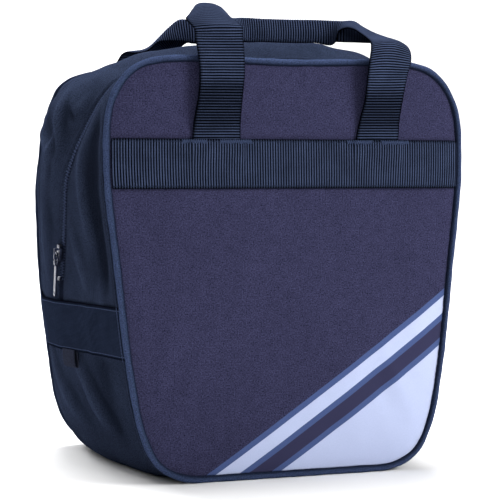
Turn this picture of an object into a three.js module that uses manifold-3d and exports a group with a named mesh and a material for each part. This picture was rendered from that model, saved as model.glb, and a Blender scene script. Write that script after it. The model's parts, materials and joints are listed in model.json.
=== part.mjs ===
// Bowling ball bag: soft upright one-ball bag with corded seams, a zip over the
// top, webbing bands, two webbing handles, a base board and a foam ball cup.
// Millimetres, +Z up, +X to the right seen from the front, front faces -Y,
// origin on the floor under the middle of the bag.
import * as THREE from 'three';
import { mergeVertices } from 'three/addons/utils/BufferGeometryUtils.js';
import Module from 'manifold-3d';

const wasm = await Module();
wasm.setup();

// ---------------------------------------------------------------- dimensions
const BODY_H = 320;              // height of the front panel's seam line
const HALF_W = [82.2, 108.1, 121.3, 130.7, 140.3, 148.4, 144.5, 128.1, 107.1];
const LEVELS = [0, 0.035, 0.11, 0.25, 0.5, 0.75, 0.9, 0.975, 1];
const FRONT_Y = -113;            // front seam plane at the floor
const REAR_Y = 117;              // rear seam plane at the floor
const LEAN = 0.000167;           // panels lean in by this share of y per mm of height
const SHELL = 3.5;               // fabric, foam and lining
const CORD_R = 3;                // piping radius
const FLOOR = CORD_R * Math.cos(Math.PI / 8);   // the cords and the base touch the floor this far under the seam line
const FOLD_Z = 134;              // level of the zip ends, where the front folds
const ZIP_EDGE_Z = 190;          // where the fold meets the zip
const WEB_W = 38.1;              // webbing width
const BAND_TOP = 260.5;          // top edge of the front and rear bands
const SIDE_BAND = [93, 133];     // side band, bottom and top
const GAP = 0.3;
const STATIONS = 60;
const SLIDER_Z = 171;            // slider's level when the bag is shut
const TAB_Y = [-10, 15.4];         // depth span of the folded webbing tab under each side band

// ---------------------------------------------------------------- seam outline
const right = HALF_W.map((w, i) => new THREE.Vector3(w, 0, LEVELS[i] * BODY_H));
const ctrl = [new THREE.Vector3(0, 0, 0), ...right, new THREE.Vector3(0, 0, BODY_H),
  ...right.slice().reverse().map((p) => new THREE.Vector3(-p.x, 0, p.z))];
const curve = new THREE.CatmullRomCurve3(ctrl, true, 'centripetal');
const FINE = 1440;
const dense = [];
for (let i = 0; i < FINE; i++) {
  const p = curve.getPoint(i / FINE);
  dense.push([p.x, Math.max(p.z, 0)]);
}
const arc = [0];
for (let i = 1; i <= FINE; i++) {
  const a = dense[i - 1], b = dense[i % FINE];
  arc.push(arc[i - 1] + Math.hypot(b[0] - a[0], b[1] - a[1]));
}
const LOOP = arc[FINE];
function at(s) {                 // point and outward normal at arc length s
  s = ((s % LOOP) + LOOP) % LOOP;
  let lo = 0, hi = FINE;
  while (hi - lo > 1) { const m = (lo + hi) >> 1; if (arc[m] <= s) lo = m; else hi = m; }
  const a = dense[lo], b = dense[(lo + 1) % FINE];
  const t = (s - arc[lo]) / Math.max(arc[lo + 1] - arc[lo], 1e-9);
  const p = dense[(lo - 5 + FINE) % FINE], q = dense[(lo + 6) % FINE];
  const dx = q[0] - p[0], dz = q[1] - p[1], d = Math.hypot(dx, dz);
  return { x: a[0] + (b[0] - a[0]) * t, z: a[1] + (b[1] - a[1]) * t, nx: dz / d, nz: -dx / d };
}
function sAtZ(z, side) {         // arc length where the outline passes level z
  for (let i = 0; i < FINE; i++) {
    const a = dense[i], b = dense[(i + 1) % FINE];
    if (side > 0 ? (a[0] > 60 && a[1] <= z && b[1] > z) : (a[0] < -60 && a[1] > z && b[1] <= z)) {
      return arc[i] + (arc[i + 1] - arc[i]) * (z - a[1]) / (b[1] - a[1]);
    }
  }
  throw new Error('level');
}
function sAtX(x) {               // along the top
  for (let i = 0; i < FINE; i++) {
    const a = dense[i], b = dense[(i + 1) % FINE];
    if (a[1] > 300 && a[0] >= x && b[0] < x) return arc[i] + (arc[i + 1] - arc[i]) * (x - a[0]) / (b[0] - a[0]);
  }
  throw new Error('x');
}

// How far the gusset stands off the seam outline. Columns run from the front
// seam to the zip (4) and from the zip to the rear seam (4 more).
const side = [                    // level, zip depth, offsets
  [11.2, 15, [0, 2, 4, 6, 6, 5, 2.5, 0]],
  [35, 15, [0, 3, 7, 11, 12, 10, 5, 0]],
  [80, 15, [0, 3, 7, 11.3, 12.8, 10, 4, -1.5]],
  [134, 15, [0, 3, 7, 11.4, 12.8, 10.5, 4.3, -1.5]],
  [163, 8, [0, 2.5, 6, 10.6, 12.8, 10.3, 3.5, -2.5]],
  [200, -3, [0, 2, 5, 8.4, 12, 10, 2, -5.5]],
  [227, -15, [0, 1.5, 3, 5.1, 11, 9.5, 0.5, -8]],
  [250, -25, [0, 0.5, 0.5, 0, 9, 7.5, -2, -11.5]],
  [270, -30, [0, -1, -3.5, -7.5, 5, 6.3, -3.5, -13]],
];
const leftCorner = [
  [288, -32, [0, -2, -6.5, -12, 1.5, 5, -5, -14.3]],
  [305, -36, [0, -2.5, -8, -12.5, -2.8, 0.2, -6.3, -12]],
  [312, -37, [0, -2.5, -7.5, -11.5, -3.3, -1.8, -5, -9]],
];
const rightCorner = [
  [288, -32, [0, -1, -3.5, -6, 4, 6.5, -3, -13]],
  [305, -36, [0, -1, -2.5, -4, 4, 5.5, -1, -8]],
  [312, -37, [0, -0.5, -1, -1, 10.5, 11.5, 4, -4]],
];
const topRows = [                 // x, zip depth, offsets
  [107, -38, [0, 0.5, 2, 4, 17.5, 18.5, 10, 0]],
  [90, -38, [0, 0.5, 2, 3.7, 18.5, 20.5, 12, 0]],
  [65, -38, [0, 1, 2.5, 4, 23, 24, 13.5, 0]],
  [30, -38, [0, 1, 2.5, 4.5, 23.8, 24, 13.5, 0]],
  [0, -38, [0, 1, 2.5, 4, 22, 22, 12.5, 0]],
  [-40, -38, [0, 1, 2, 3, 18, 17.5, 10, 0]],
  [-60, -38, [0, 0.5, 1, 2, 14.3, 14, 8.5, 0]],
  [-80, -38, [0, 0, -1, -1, 9, 9.5, 5.7, -0.8]],
  [-94, -38, [0, -1, -3, -4.5, 3.7, 4.2, 2.1, -2.2]],
  [-107, -38, [0, -1.5, -5, -8, -2.3, 0, -0.3, -4.2]],
];
const flat3 = [0, 3.2, 3.2, 3.2, 3.2, 3.2, 3.2, 0];
const rows = [[0, 15, flat3], [arcAtX0(60), 15, flat3]];
function arcAtX0(x) { for (let i = 0; i < FINE; i++) if (dense[i][0] >= x) return arc[i]; return 0; }
const straight = (z) => {         // the zip runs straight past the slider's travel
  const x0 = at(sAtZ(134, 1)).x + 11.4, x1 = at(sAtZ(227, 1)).x + 5.1;
  return x0 + (x1 - x0) * (z - 134) / 93;
};
for (const sgn of [1, -1]) {
  const list = [];
  for (const [z, yz, o] of [...side, ...(sgn > 0 ? rightCorner : leftCorner)]) {
    const off = o.slice();
    let depth = yz;
    if (z >= 134 && z <= 227) {
      off[3] = straight(z) - at(sAtZ(z, 1)).x;
      depth = 15 - 30 * (z - 134) / 93;
    }
    list.push([sAtZ(z, sgn), depth, off]);
  }
  if (sgn > 0) { rows.push(...list); for (const [x, yz, o] of topRows) rows.push([sAtX(x), yz, o]); }
  else rows.push(...list.reverse());
}
rows.push([LOOP - arcAtX0(60), 15, flat3], [LOOP, 15, flat3]);
for (let i = 1; i < rows.length; i++) if (rows[i][0] <= rows[i - 1][0]) throw new Error('rows ' + i);

function hermite(xs, ys, x) {     // limited cubic through the knots
  const n = xs.length;
  let i = 0;
  while (i < n - 2 && x > xs[i + 1]) i++;
  const slope = (k) => (ys[k + 1] - ys[k]) / (xs[k + 1] - xs[k]);
  const tan = (k) => {
    if (k === 0) return slope(0);
    if (k === n - 1) return slope(n - 2);
    const a = slope(k - 1), b = slope(k);
    if (a * b <= 0) return 0;
    const h0 = xs[k] - xs[k - 1], h1 = xs[k + 1] - xs[k];
    return 3 * (h0 + h1) / ((2 * h1 + h0) / a + (h1 + 2 * h0) / b);
  };
  const h = xs[i + 1] - xs[i], t = THREE.MathUtils.clamp((x - xs[i]) / h, 0, 1);
  const t2 = t * t, t3 = t2 * t;
  return (2 * t3 - 3 * t2 + 1) * ys[i] + (t3 - 2 * t2 + t) * h * tan(i)
    + (-2 * t3 + 3 * t2) * ys[i + 1] + (t3 - t2) * h * tan(i + 1);
}
const rowS = rows.map((r) => r[0]);
const zipY = (s) => hermite(rowS, rows.map((r) => r[1]), ((s % LOOP) + LOOP) % LOOP);
function off(s, y) {
  s = ((s % LOOP) + LOOP) % LOOP;
  const vals = [];
  for (let k = 0; k < 8; k++) vals.push(hermite(rowS, rows.map((r) => r[2][k]), s));
  const z = zipY(s), ys = [];
  for (let k = 0; k < 4; k++) ys.push(FRONT_Y + (z - FRONT_Y) * k / 3);
  for (let k = 1; k < 5; k++) ys.push(z + (REAR_Y - z) * k / 4);
  return hermite(ys, vals, y);
}
function put(s, y, o) {           // a point o mm off the outline at depth y
  const p = at(s);
  const x = p.x + p.nx * o, z = Math.max(p.z + p.nz * o, -FLOOR);
  return [x, y * (1 - LEAN * z), z];
}

// ---------------------------------------------------------------- solids
function solid(verts, tris) {
  let vol = 0;
  for (const [a, b, c] of tris) {
    const A = verts[a], B = verts[b], C = verts[c];
    vol += A[0] * (B[1] * C[2] - B[2] * C[1]) + A[1] * (B[2] * C[0] - B[0] * C[2]) + A[2] * (B[0] * C[1] - B[1] * C[0]);
  }
  const idx = [];
  for (const [a, b, c] of tris) if (vol > 0) idx.push(a, b, c); else idx.push(a, c, b);
  const g = new THREE.BufferGeometry();
  g.setAttribute('position', new THREE.Float32BufferAttribute(verts.flat(), 3));
  g.setIndex(idx);
  return g;
}
// rings of equal length, joined in order; flat holds each ring in 2-D for the end caps
function loft(rings, closed, flat) {
  const n = rings[0].length, verts = rings.flat(), tris = [];
  const m = rings.length, last = closed ? m : m - 1;
  for (let i = 0; i < last; i++) {
    const a = i * n, b = ((i + 1) % m) * n;
    for (let j = 0; j < n; j++) {
      const k = (j + 1) % n;
      tris.push([a + j, b + j, b + k], [a + j, b + k, a + k]);
    }
  }
  if (!closed) {
    const cap = (pts, base, flip) => {
      const c = pts.map((p) => new THREE.Vector2(p[0], p[1]));
      const cw = THREE.ShapeUtils.isClockWise(c);
      const map = c.map((_, i) => i);
      if (cw) { c.reverse(); map.reverse(); }
      for (const f of THREE.ShapeUtils.triangulateShape(c, [])) {
        const t = [map[f[0]], map[f[1]], map[f[2]]].map((i) => base + i);
        const ccw = !cw;
        tris.push((ccw !== flip) ? t : [t[0], t[2], t[1]]);
      }
    };
    // the first cap faces back along the loft, the last one forward
    const area = (pts) => pts.reduce((s, p, i) => { const q = pts[(i + 1) % pts.length]; return s + p[0] * q[1] - q[0] * p[1]; }, 0);
    const f0 = flat ? flat[0] : rings[0], f1 = flat ? flat[flat.length - 1] : rings[m - 1];
    cap(f0, 0, area(f0) < 0 ? true : false);
    cap(f1, (m - 1) * n, area(f1) < 0 ? false : true);
    fixCaps(verts, tris, n, m);
  }
  return solid(verts, tris);
}
// turns each cap so that every shared edge runs both ways
function fixCaps(verts, tris, n, m) {
  const sideCount = (m - 1) * n * 2;
  const dir = new Set();
  for (let i = 0; i < sideCount; i++) { const t = tris[i]; for (let k = 0; k < 3; k++) dir.add(t[k] + '_' + t[(k + 1) % 3]); }
  const groups = [[], []];
  for (let i = sideCount; i < tris.length; i++) groups[tris[i][0] < n ? 0 : 1].push(i);
  for (const g of groups) {
    // boundary edges of a cap must run against the side walls
    let bad = 0, good = 0;
    for (const i of g) for (let k = 0; k < 3; k++) {
      const e = tris[i][k] + '_' + tris[i][(k + 1) % 3], r = tris[i][(k + 1) % 3] + '_' + tris[i][k];
      if (dir.has(e)) bad++; if (dir.has(r)) good++;
    }
    if (bad > good) for (const i of g) tris[i] = [tris[i][0], tris[i][2], tris[i][1]];
  }
}
function toManifold(g) {
  let h = g.clone();
  for (const k of Object.keys(h.attributes)) if (k !== 'position') h.deleteAttribute(k);
  h = mergeVertices(h, 1e-4);
  return new wasm.Manifold(new wasm.Mesh({ numProp: 3, vertProperties: new Float32Array(h.attributes.position.array), triVerts: new Uint32Array(h.index.array) }));
}
function fromManifold(m) {
  const k = m.getMesh(), g = new THREE.BufferGeometry();
  g.setAttribute('position', new THREE.Float32BufferAttribute(Array.from(k.vertProperties), 3));
  g.setIndex(Array.from(k.triVerts));
  return g;
}

const model = new THREE.Group();
const mats = {
  panel: [0x37385a, 0.9, 0], gusset: [0x1d2433, 0.92, 0], piping: [0x1f2637, 0.85, 0],
  webbing: [0x262d3e, 0.85, 0], tape: [0x1a2030, 0.9, 0], metal: [0x3a3c42, 0.35, 0.9],
  board: [0x1b1b1e, 0.7, 0], foam: [0x2a2b30, 0.95, 0], binding: [0x20242e, 0.9, 0],
};
function add(name, geo, mat) {
  const [color, roughness, metalness] = mats[mat];
  const mesh = new THREE.Mesh(geo, new THREE.MeshStandardMaterial({ color, roughness, metalness }));
  mesh.name = name;
  model.add(mesh);
  return mesh;
}

// arc-length stations
const sR = sAtZ(FOLD_Z, 1), sL = sAtZ(FOLD_Z, -1);
function stations(a, b, n) {
  const out = [];
  for (let i = 0; i <= n; i++) out.push(a + (b - a) * i / n);
  return out;
}
const upper = stations(sR + GAP, sL - GAP, 38);
const lower = stations(sL + GAP, LOOP + sR - GAP, 26);
const whole = stations(0, LOOP, STATIONS).slice(0, -1);

// strip of gusset between depths y0(s) and y1(s), from lo to hi mm off its surface
function strip(ss, y0, y1, cols, lo, hi) {
  const rings = [], flat = [];
  for (const s of ss) {
    const a = y0(s), b = y1(s), ring = [], f = [];
    for (let j = 0; j <= cols; j++) { const y = a + (b - a) * j / cols; const o = off(s, y) + hi; ring.push(put(s, y, o)); f.push([y, o]); }
    for (let j = cols; j >= 0; j--) { const y = a + (b - a) * j / cols; const o = off(s, y) + lo; ring.push(put(s, y, o)); f.push([y, o]); }
    rings.push(ring); flat.push(f);
  }
  return loft(rings, false, flat);
}
function cord(ss, y, o, r, closed, sides = 8) {
  const rings = [], flat = [];
  for (const s of ss) {
    const ring = [], f = [];
    for (let j = 0; j < sides; j++) {
      const t = (j + 0.5) * 2 * Math.PI / sides;
      ring.push(put(s, y + r * Math.cos(t), o(s) + r * Math.sin(t)));
      f.push([Math.cos(t), Math.sin(t)]);
    }
    rings.push(ring); flat.push(f);
  }
  return loft(rings, closed, flat);
}
function plate(pts, y0, y1) {     // pts are [x, z], drawn between two depths
  const ring = (y) => pts.map(([x, z]) => [x, y * (1 - LEAN * z), z]);
  return loft([ring(y0), ring(y1)], false, [pts, pts]);
}
const rearOff = (s) => off(s, REAR_Y);
const inset = (ss, o) => ss.map((s) => { const p = put(s, 0, o(s)); return [p[0], p[2]]; });

// ---------------------------------------------------------------- panels
const inFront = () => -CORD_R - 0.6;
function cut(ss, o, z) {          // outline stretch closed by a straight edge at level z
  const pts = inset(ss, o);
  pts[0][1] = z; pts[pts.length - 1][1] = z;
  return pts;
}
add('front_panel_upper', plate(cut(upper, inFront, FOLD_Z + GAP), FRONT_Y - 0.5, FRONT_Y + SHELL - 0.5), 'panel');
add('front_panel_lower', plate(cut(lower, inFront, FOLD_Z - GAP), FRONT_Y - 0.5, FRONT_Y + SHELL - 0.5), 'panel');
add('rear_panel', plate(inset(whole, (s) => rearOff(s) - CORD_R - 0.6), REAR_Y - SHELL + 0.5, REAR_Y + 0.5), 'gusset');

// ---------------------------------------------------------------- piping
add('front_piping_upper', cord(upper, FRONT_Y, () => 0, CORD_R, false), 'piping');
add('front_piping_lower', cord(lower, FRONT_Y, () => 0, CORD_R, false), 'piping');
add('rear_piping', cord(whole, REAR_Y, rearOff, CORD_R, true), 'piping');

// ---------------------------------------------------------------- gusset
const fEdge = () => FRONT_Y + 3.8, rEdge = () => REAR_Y - 3.8;
add('base_gusset', strip(lower, fEdge, rEdge, 8, -SHELL, 0), 'gusset');
add('rear_gusset', strip(upper, (s) => zipY(s) + 5.8, rEdge, 6, -SHELL, 0), 'gusset');
const foldCut = (s) => {          // the fold climbs from the front seam to the zip
  const z = at(s).z;
  return z >= ZIP_EDGE_Z ? 1e9 : FRONT_Y + (z - FOLD_Z) / (ZIP_EDGE_Z - FOLD_Z) * (-3 - FRONT_Y);
};
const sR1 = sAtZ(FOLD_Z + 7, 1), sL1 = sAtZ(FOLD_Z + 7, -1);
const topS = stations(sAtZ(ZIP_EDGE_Z + 1, 1), sAtZ(ZIP_EDGE_Z + 1, -1), 30);
const flapS = [...stations(sR1, sAtZ(ZIP_EDGE_Z - 9, 1), 4), ...topS, ...stations(sAtZ(ZIP_EDGE_Z - 9, -1), sL1, 4)];
add('front_gusset', strip(flapS, fEdge, (s) => Math.min(foldCut(s), zipY(s) - 5.8), 4, -SHELL, 0), 'gusset');
for (const [name, a, b] of [['gusset_fold_right', sR + GAP, sAtZ(ZIP_EDGE_Z - 6, 1)], ['gusset_fold_left', sAtZ(ZIP_EDGE_Z - 6, -1), sL - GAP]]) {
  add(name, strip(stations(a, b, 6), (s) => Math.max(foldCut(s) + 1.2, FRONT_Y + 3.8), (s) => zipY(s) - 0.5, 4, -SHELL, -0.1), 'gusset');
}

// ---------------------------------------------------------------- zip
add('front_zip_tape', strip(topS, (s) => zipY(s) - 5.4, (s) => zipY(s) - 0.5, 1, -2.4, -0.2), 'tape');
add('rear_zip_tape', strip(upper, (s) => zipY(s) + 0.5, (s) => zipY(s) + 5.4, 1, -2.4, -0.2), 'tape');
for (const [name, sgn] of [['zip_stop_left', -1], ['zip_stop_right', 1]]) {
  const ss = sgn > 0 ? [sAtZ(149, 1), sAtZ(152, 1)] : [sAtZ(152, -1), sAtZ(149, -1)];
  add(name, strip(ss, (s) => zipY(s) - 3.5, (s) => zipY(s) + 3.5, 2, 0.3, 2.1), 'metal');
}
// frame of the left zip at the slider
const zp = (z) => { const s = sAtZ(z, -1), y = zipY(s); return new THREE.Vector3(...put(s, y, off(s, y))); };
const S0 = zp(SLIDER_Z);
const T = zp(222).sub(zp(150)).normalize();
const W = new THREE.Vector3(0, 1, 0).addScaledVector(T, -T.y).normalize();
const N = new THREE.Vector3().crossVectors(T, W).normalize();
if (N.x > 0) N.negate();
const basis = new THREE.Matrix4().makeBasis(W, T, N);
if (basis.determinant() < 0) W.negate();
basis.makeBasis(W, T, N);
const place = (g, w, t, n) => {   // local (across, along, out) to the row frame
  g.translate(w, t, n);
  g.applyMatrix4(basis);
  g.translate(S0.x, S0.y, S0.z);
  return g;
};
const flatShape = (pts, holes = []) => {
  const sh = new THREE.Shape(pts.map((p) => new THREE.Vector2(...p)));
  for (const h of holes) sh.holes.push(new THREE.Path(h.map((p) => new THREE.Vector2(...p))));
  return sh;
};
const slab = (pts, t, holes) => { const g = new THREE.ExtrudeGeometry(flatShape(pts, holes), { depth: t, bevelEnabled: false }); g.translate(0, 0, -t / 2); return g; };
const BODY_T = 3.0, LIFT = 0.7, TUNNEL = 2.4;
let slider = toManifold(place(slab([[-4.6, 5.2], [-2.6, 7], [2.6, 7], [4.6, 5.2], [3.6, -5.8], [-3.6, -5.8]], BODY_T), 0, 0, LIFT + BODY_T / 2));
const bailN = LIFT + BODY_T;
for (const t of [-3.7, 3.7]) slider = slider.add(toManifold(place(new THREE.BoxGeometry(1.4, 1.8, TUNNEL + 0.6), 0, t, bailN + TUNNEL / 2)));
slider = slider.add(toManifold(place(new THREE.BoxGeometry(1.4, 9.2, 1.2), 0, 0, bailN + TUNNEL + 0.6)));
add('zip_slider', fromManifold(slider), 'metal');
const ringN = bailN + TUNNEL / 2;
const ringOut = [[-1.7, 0.9], [1.7, 0.9], [5.2, -3.8], [3.5, -8.6], [-3.5, -8.6], [-5.2, -3.8]];
const ringIn = [[-1.0, -0.5], [1.0, -0.5], [3.7, -4.0], [2.5, -7.3], [-2.5, -7.3], [-3.7, -4.0]];
add('slider_ring', place(slab(ringOut.slice().reverse(), 1.2, [ringIn]), 0, 0, ringN), 'metal');
const barT = -7.95;               // middle of the ring's lower bar
let pull = toManifold(place(slab([[-1.8, 1.9], [1.8, 1.9], [1.8, -1.9], [-1.8, -1.9]].reverse(), 3.6), 0, barT, ringN));
pull = pull.add(toManifold(place(slab([[-1.6, 0], [-2.5, -2.5], [-2.5, -25.2], [-1.6, -27], [1.6, -27], [2.5, -25.2], [2.5, -2.5], [1.6, 0]], 1.6), 0, barT - 1.6, ringN)));
pull = pull.subtract(toManifold(place(new THREE.BoxGeometry(8, 2.0, 1.9), 0, barT, ringN)));
const hole = new THREE.CylinderGeometry(1.1, 1.1, 6, 12); hole.rotateX(Math.PI / 2);
pull = pull.subtract(toManifold(place(hole, 0, barT - 25.6, ringN)));
add('zip_pull', fromManifold(pull), 'metal');

// ---------------------------------------------------------------- bands and tabs
function bandPlate(y0, y1, o) {
  const pts = [];
  for (const sgn of [1, -1]) {
    const zs = [BAND_TOP - WEB_W, BAND_TOP - WEB_W / 2, BAND_TOP];
    if (sgn < 0) zs.reverse();
    for (const z of zs) { const s = sAtZ(z, sgn); const p = put(s, 0, o(s)); pts.push([p[0], z]); }
  }
  return plate(pts, y0, y1);
}
add('front_band', bandPlate(FRONT_Y - 2.7, FRONT_Y - 0.85, () => -CORD_R - 1), 'webbing');
add('rear_band', bandPlate(REAR_Y + 0.85, REAR_Y + 2.7, (s) => rearOff(s) - CORD_R - 1), 'webbing');
add('side_band_right', strip(stations(sAtZ(SIDE_BAND[0], 1), sAtZ(SIDE_BAND[1], 1), 3), () => FRONT_Y + 4.2, () => REAR_Y - 4.2, 10, 0.35, 2.1), 'webbing');
add('side_band_left', strip(stations(sAtZ(SIDE_BAND[1], -1), sAtZ(SIDE_BAND[0], -1), 3), () => FRONT_Y + 4.2, () => REAR_Y - 4.2, 10, 0.35, 2.1), 'webbing');
add('pull_tab_right', strip(stations(sAtZ(82, 1), sAtZ(SIDE_BAND[0] - 0.5, 1), 3), () => TAB_Y[0], () => TAB_Y[1], 3, 0.5, 3.7), 'webbing');
add('pull_tab_left', strip(stations(sAtZ(SIDE_BAND[0] - 0.5, -1), sAtZ(82, -1), 3), () => TAB_Y[0], () => TAB_Y[1], 3, 0.5, 3.7), 'webbing');

// ---------------------------------------------------------------- handles
// centre, half-width vector, half-thickness vector
const half = WEB_W / 2;
const handle = [
  [[-60.5, -110.4, BAND_TOP + 0.9], [half, 0, 0], [0, 1.05, 0]],
  [[-60, -112, 285], [half, 0, 0], [0, 1.05, 0]],
  [[-58.6, -113, 320], [half, 0, 0], [0, 1.05, 0]],
  [[-57.2, -109.5, 339], [half, 0, 0], [0, 1.0, 0.3]],
  [[-54.5, -99, 352.5], [half - 2, 0, -3], [0, 0.7, 1.0]],
  [[-47, -81, 357.5], [11, 0, -8.5], [0.3, 1.7, 0.9]],
  [[-35, -66, 353.5], [2.5, 0, -9.6], [0.3, 2.4, 0]],
  [[-20, -58, 350.5], [0, 0, -9.4], [0.2, 2.7, 0]],
  [[22, -54, 350.3], [0, 0, -9.3], [0, 2.7, 0]],
  [[63, -58, 349.8], [0, 0, -9.4], [-0.2, 2.7, 0]],
  [[76, -66, 350.5], [-2.5, 0, -9.6], [-0.3, 2.4, 0]],
  [[86, -81, 350.5], [-11, 0, -8.5], [-0.3, 1.7, 0.9]],
  [[91.5, -99, 345], [-half + 2, 0, -3], [0, 0.7, 1.0]],
  [[91, -109.5, 333], [-half, 0, 1], [0, 1.0, 0.3]],
  [[87.5, -113.2, 315], [-half, 0, 2], [0, 1.05, 0]],
  [[80.5, -112, 285], [-half, 0, 1.5], [0, 1.05, 0]],
  [[75.4, -110.4, BAND_TOP + 0.9], [-half, 0, 0], [0, 1.05, 0]],
];
function strap(list) {
  const rings = list.map(([c, a, b]) => {
    const at4 = (i, j) => [c[0] + i * a[0] + j * b[0], c[1] + i * a[1] + j * b[1], c[2] + i * a[2] + j * b[2]];
    return [at4(-1, -1), at4(0, -1), at4(1, -1), at4(1, 1), at4(0, 1), at4(-1, 1)];
  });
  const f = [[-1, -1], [0, -1], [1, -1], [1, 1], [0, 1], [-1, 1]];
  return loft(rings, false, [f, f]);
}
add('front_handle', strap(handle), 'webbing');
add('rear_handle', strap(handle.map(([c, a, b]) => {
  const lift = THREE.MathUtils.clamp((c[2] - BAND_TOP) / 90, 0, 1);
  return [[c[0] + 7 * lift, -c[1] + 4 + 1 * lift, c[2] + 4 * lift], [a[0], -a[1], a[2]], [b[0], -b[1], b[2]]];
})), 'webbing');

// ---------------------------------------------------------------- inside
function roundedPlate(hx, y0, y1, r, z0, z1) {
  const pts = [];
  for (const [cx, cy, a0] of [[hx - r, y1 - r, 0], [-hx + r, y1 - r, 90], [-hx + r, y0 + r, 180], [hx - r, y0 + r, 270]]) {
    for (let k = 0; k <= 4; k++) { const t = (a0 + 22.5 * k) * Math.PI / 180; pts.push([cx + r * Math.cos(t), cy + r * Math.sin(t)]); }
  }
  return loft([pts.map(([x, y]) => [x, y, z0]), pts.map(([x, y]) => [x, y, z1])], false, [pts, pts]);
}
add('base_board', roundedPlate(78, -100, 104, 22, SHELL + 0.3, SHELL + 3.3), 'board');
const cupProfile = [[34, 7.4], [64, 7.4], [66, 10], [64, 18], [57, 23], [50, 21.5], [41, 15], [34, 11.5], [34, 7.4]].map(([r, z]) => [r, z + 0.4]);
const cup = new THREE.LatheGeometry(cupProfile.map((p) => new THREE.Vector2(...p)), 32);
cup.rotateX(Math.PI / 2);
cup.translate(0, 2, 0);
const cupM = toManifold(cup);
add('ball_cup', fromManifold(cupM), 'foam');
const bindF = (ss, closed) => {
  const rings = [], flat = [];
  for (const s of ss) {
    const f = [[FRONT_Y + 4.2, -5.0], [FRONT_Y + 4.2, -8.0], [FRONT_Y + 10, -8.0], [FRONT_Y + 10, -5.0]];
    rings.push(f.map(([y, o]) => put(s, y, o + Math.min(off(s, y), 0)))); flat.push(f);
  }
  return loft(rings, closed, flat);
};
add('front_seam_binding_upper', bindF(stations(sAtZ(FOLD_Z + 3, 1), sAtZ(FOLD_Z + 3, -1), 36), false), 'binding');
add('front_seam_binding_lower', bindF(stations(sAtZ(FOLD_Z - 3, -1), LOOP + sAtZ(FOLD_Z - 3, 1), 26), false), 'binding');
{
  const rings = whole.map((s) => {
    const f = [[REAR_Y - 4.2, -5.0], [REAR_Y - 4.2, -8.0], [REAR_Y - 10, -8.0], [REAR_Y - 10, -5.0]];
    const o0 = Math.min(rearOff(s), off(s, REAR_Y - 10));
    return f.map(([y, o]) => put(s, y, o + o0));
  });
  add('rear_seam_binding', loft(rings, true), 'binding');
}

model.position.z = FLOOR;

export default model;
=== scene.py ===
import bpy, json, math
import numpy as np
from mathutils import Vector, Matrix, noise

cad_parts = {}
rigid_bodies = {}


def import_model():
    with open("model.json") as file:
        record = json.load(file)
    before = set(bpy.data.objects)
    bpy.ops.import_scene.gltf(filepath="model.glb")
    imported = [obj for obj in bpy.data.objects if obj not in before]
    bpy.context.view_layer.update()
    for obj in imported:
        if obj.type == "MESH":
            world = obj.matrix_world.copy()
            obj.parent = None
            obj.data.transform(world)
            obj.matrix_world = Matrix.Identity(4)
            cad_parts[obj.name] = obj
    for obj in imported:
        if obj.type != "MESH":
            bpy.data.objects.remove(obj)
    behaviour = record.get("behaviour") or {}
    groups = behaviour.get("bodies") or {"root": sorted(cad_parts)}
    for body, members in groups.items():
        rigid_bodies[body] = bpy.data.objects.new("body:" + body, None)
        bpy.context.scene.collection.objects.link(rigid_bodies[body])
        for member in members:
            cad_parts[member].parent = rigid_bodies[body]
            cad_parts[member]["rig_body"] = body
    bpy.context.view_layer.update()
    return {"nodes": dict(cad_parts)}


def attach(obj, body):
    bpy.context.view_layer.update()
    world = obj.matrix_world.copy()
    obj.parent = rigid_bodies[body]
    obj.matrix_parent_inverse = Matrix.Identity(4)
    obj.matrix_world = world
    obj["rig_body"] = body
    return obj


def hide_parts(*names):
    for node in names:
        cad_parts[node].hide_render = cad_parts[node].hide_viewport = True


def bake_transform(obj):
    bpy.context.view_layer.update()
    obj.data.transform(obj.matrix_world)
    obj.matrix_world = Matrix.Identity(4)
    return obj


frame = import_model()


# ------------------------------------------------------------------ sizes, mm
MM = 0.001
BODY_H = 320.0
HALF_W = [82.2, 108.1, 121.3, 130.7, 140.3, 148.4, 144.5, 128.1, 107.1]
LEVELS = [0, 0.035, 0.11, 0.25, 0.5, 0.75, 0.9, 0.975, 1]
FRONT_Y, REAR_Y, LEAN = -113.0, 117.0, 0.000167
CORD_R = 3.0
FLOOR = CORD_R * math.cos(math.pi / 8)
FOLD_Z = 134.0
WEB_W = 38.1
BAND_TOP = 260.5
SIDE_BAND = (93.0, 133.0)
RIB = 2.15
SHELL = 3.2


# ------------------------------------------------------------------ splines
def hermite_np(knots, vals, x):
    """Smooth curve through vals at knots (chord-length tangents), any trailing shape."""
    knots = np.asarray(knots, float); vals = np.asarray(vals, float); x = np.asarray(x, float)
    n = len(knots)
    h = np.diff(knots)
    sl = np.diff(vals, axis=0) / h.reshape((-1,) + (1,) * (vals.ndim - 1))
    m = np.zeros_like(vals)
    m[0], m[-1] = sl[0], sl[-1]
    h0 = h[:-1].reshape((-1,) + (1,) * (vals.ndim - 1)); h1 = h[1:].reshape((-1,) + (1,) * (vals.ndim - 1))
    m[1:-1] = (sl[:-1] * h1 + sl[1:] * h0) / (h0 + h1)
    i = np.clip(np.searchsorted(knots, x, side="right") - 1, 0, n - 2)
    hh = h[i]
    t = (x - knots[i]) / hh
    sh = (-1,) + (1,) * (vals.ndim - 1)
    t = t.reshape(sh); hh = hh.reshape(sh)
    return ((2 * t**3 - 3 * t**2 + 1) * vals[i] + (t**3 - 2 * t**2 + t) * hh * m[i]
            + (-2 * t**3 + 3 * t**2) * vals[i + 1] + (t**3 - t**2) * hh * m[i + 1])


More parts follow.
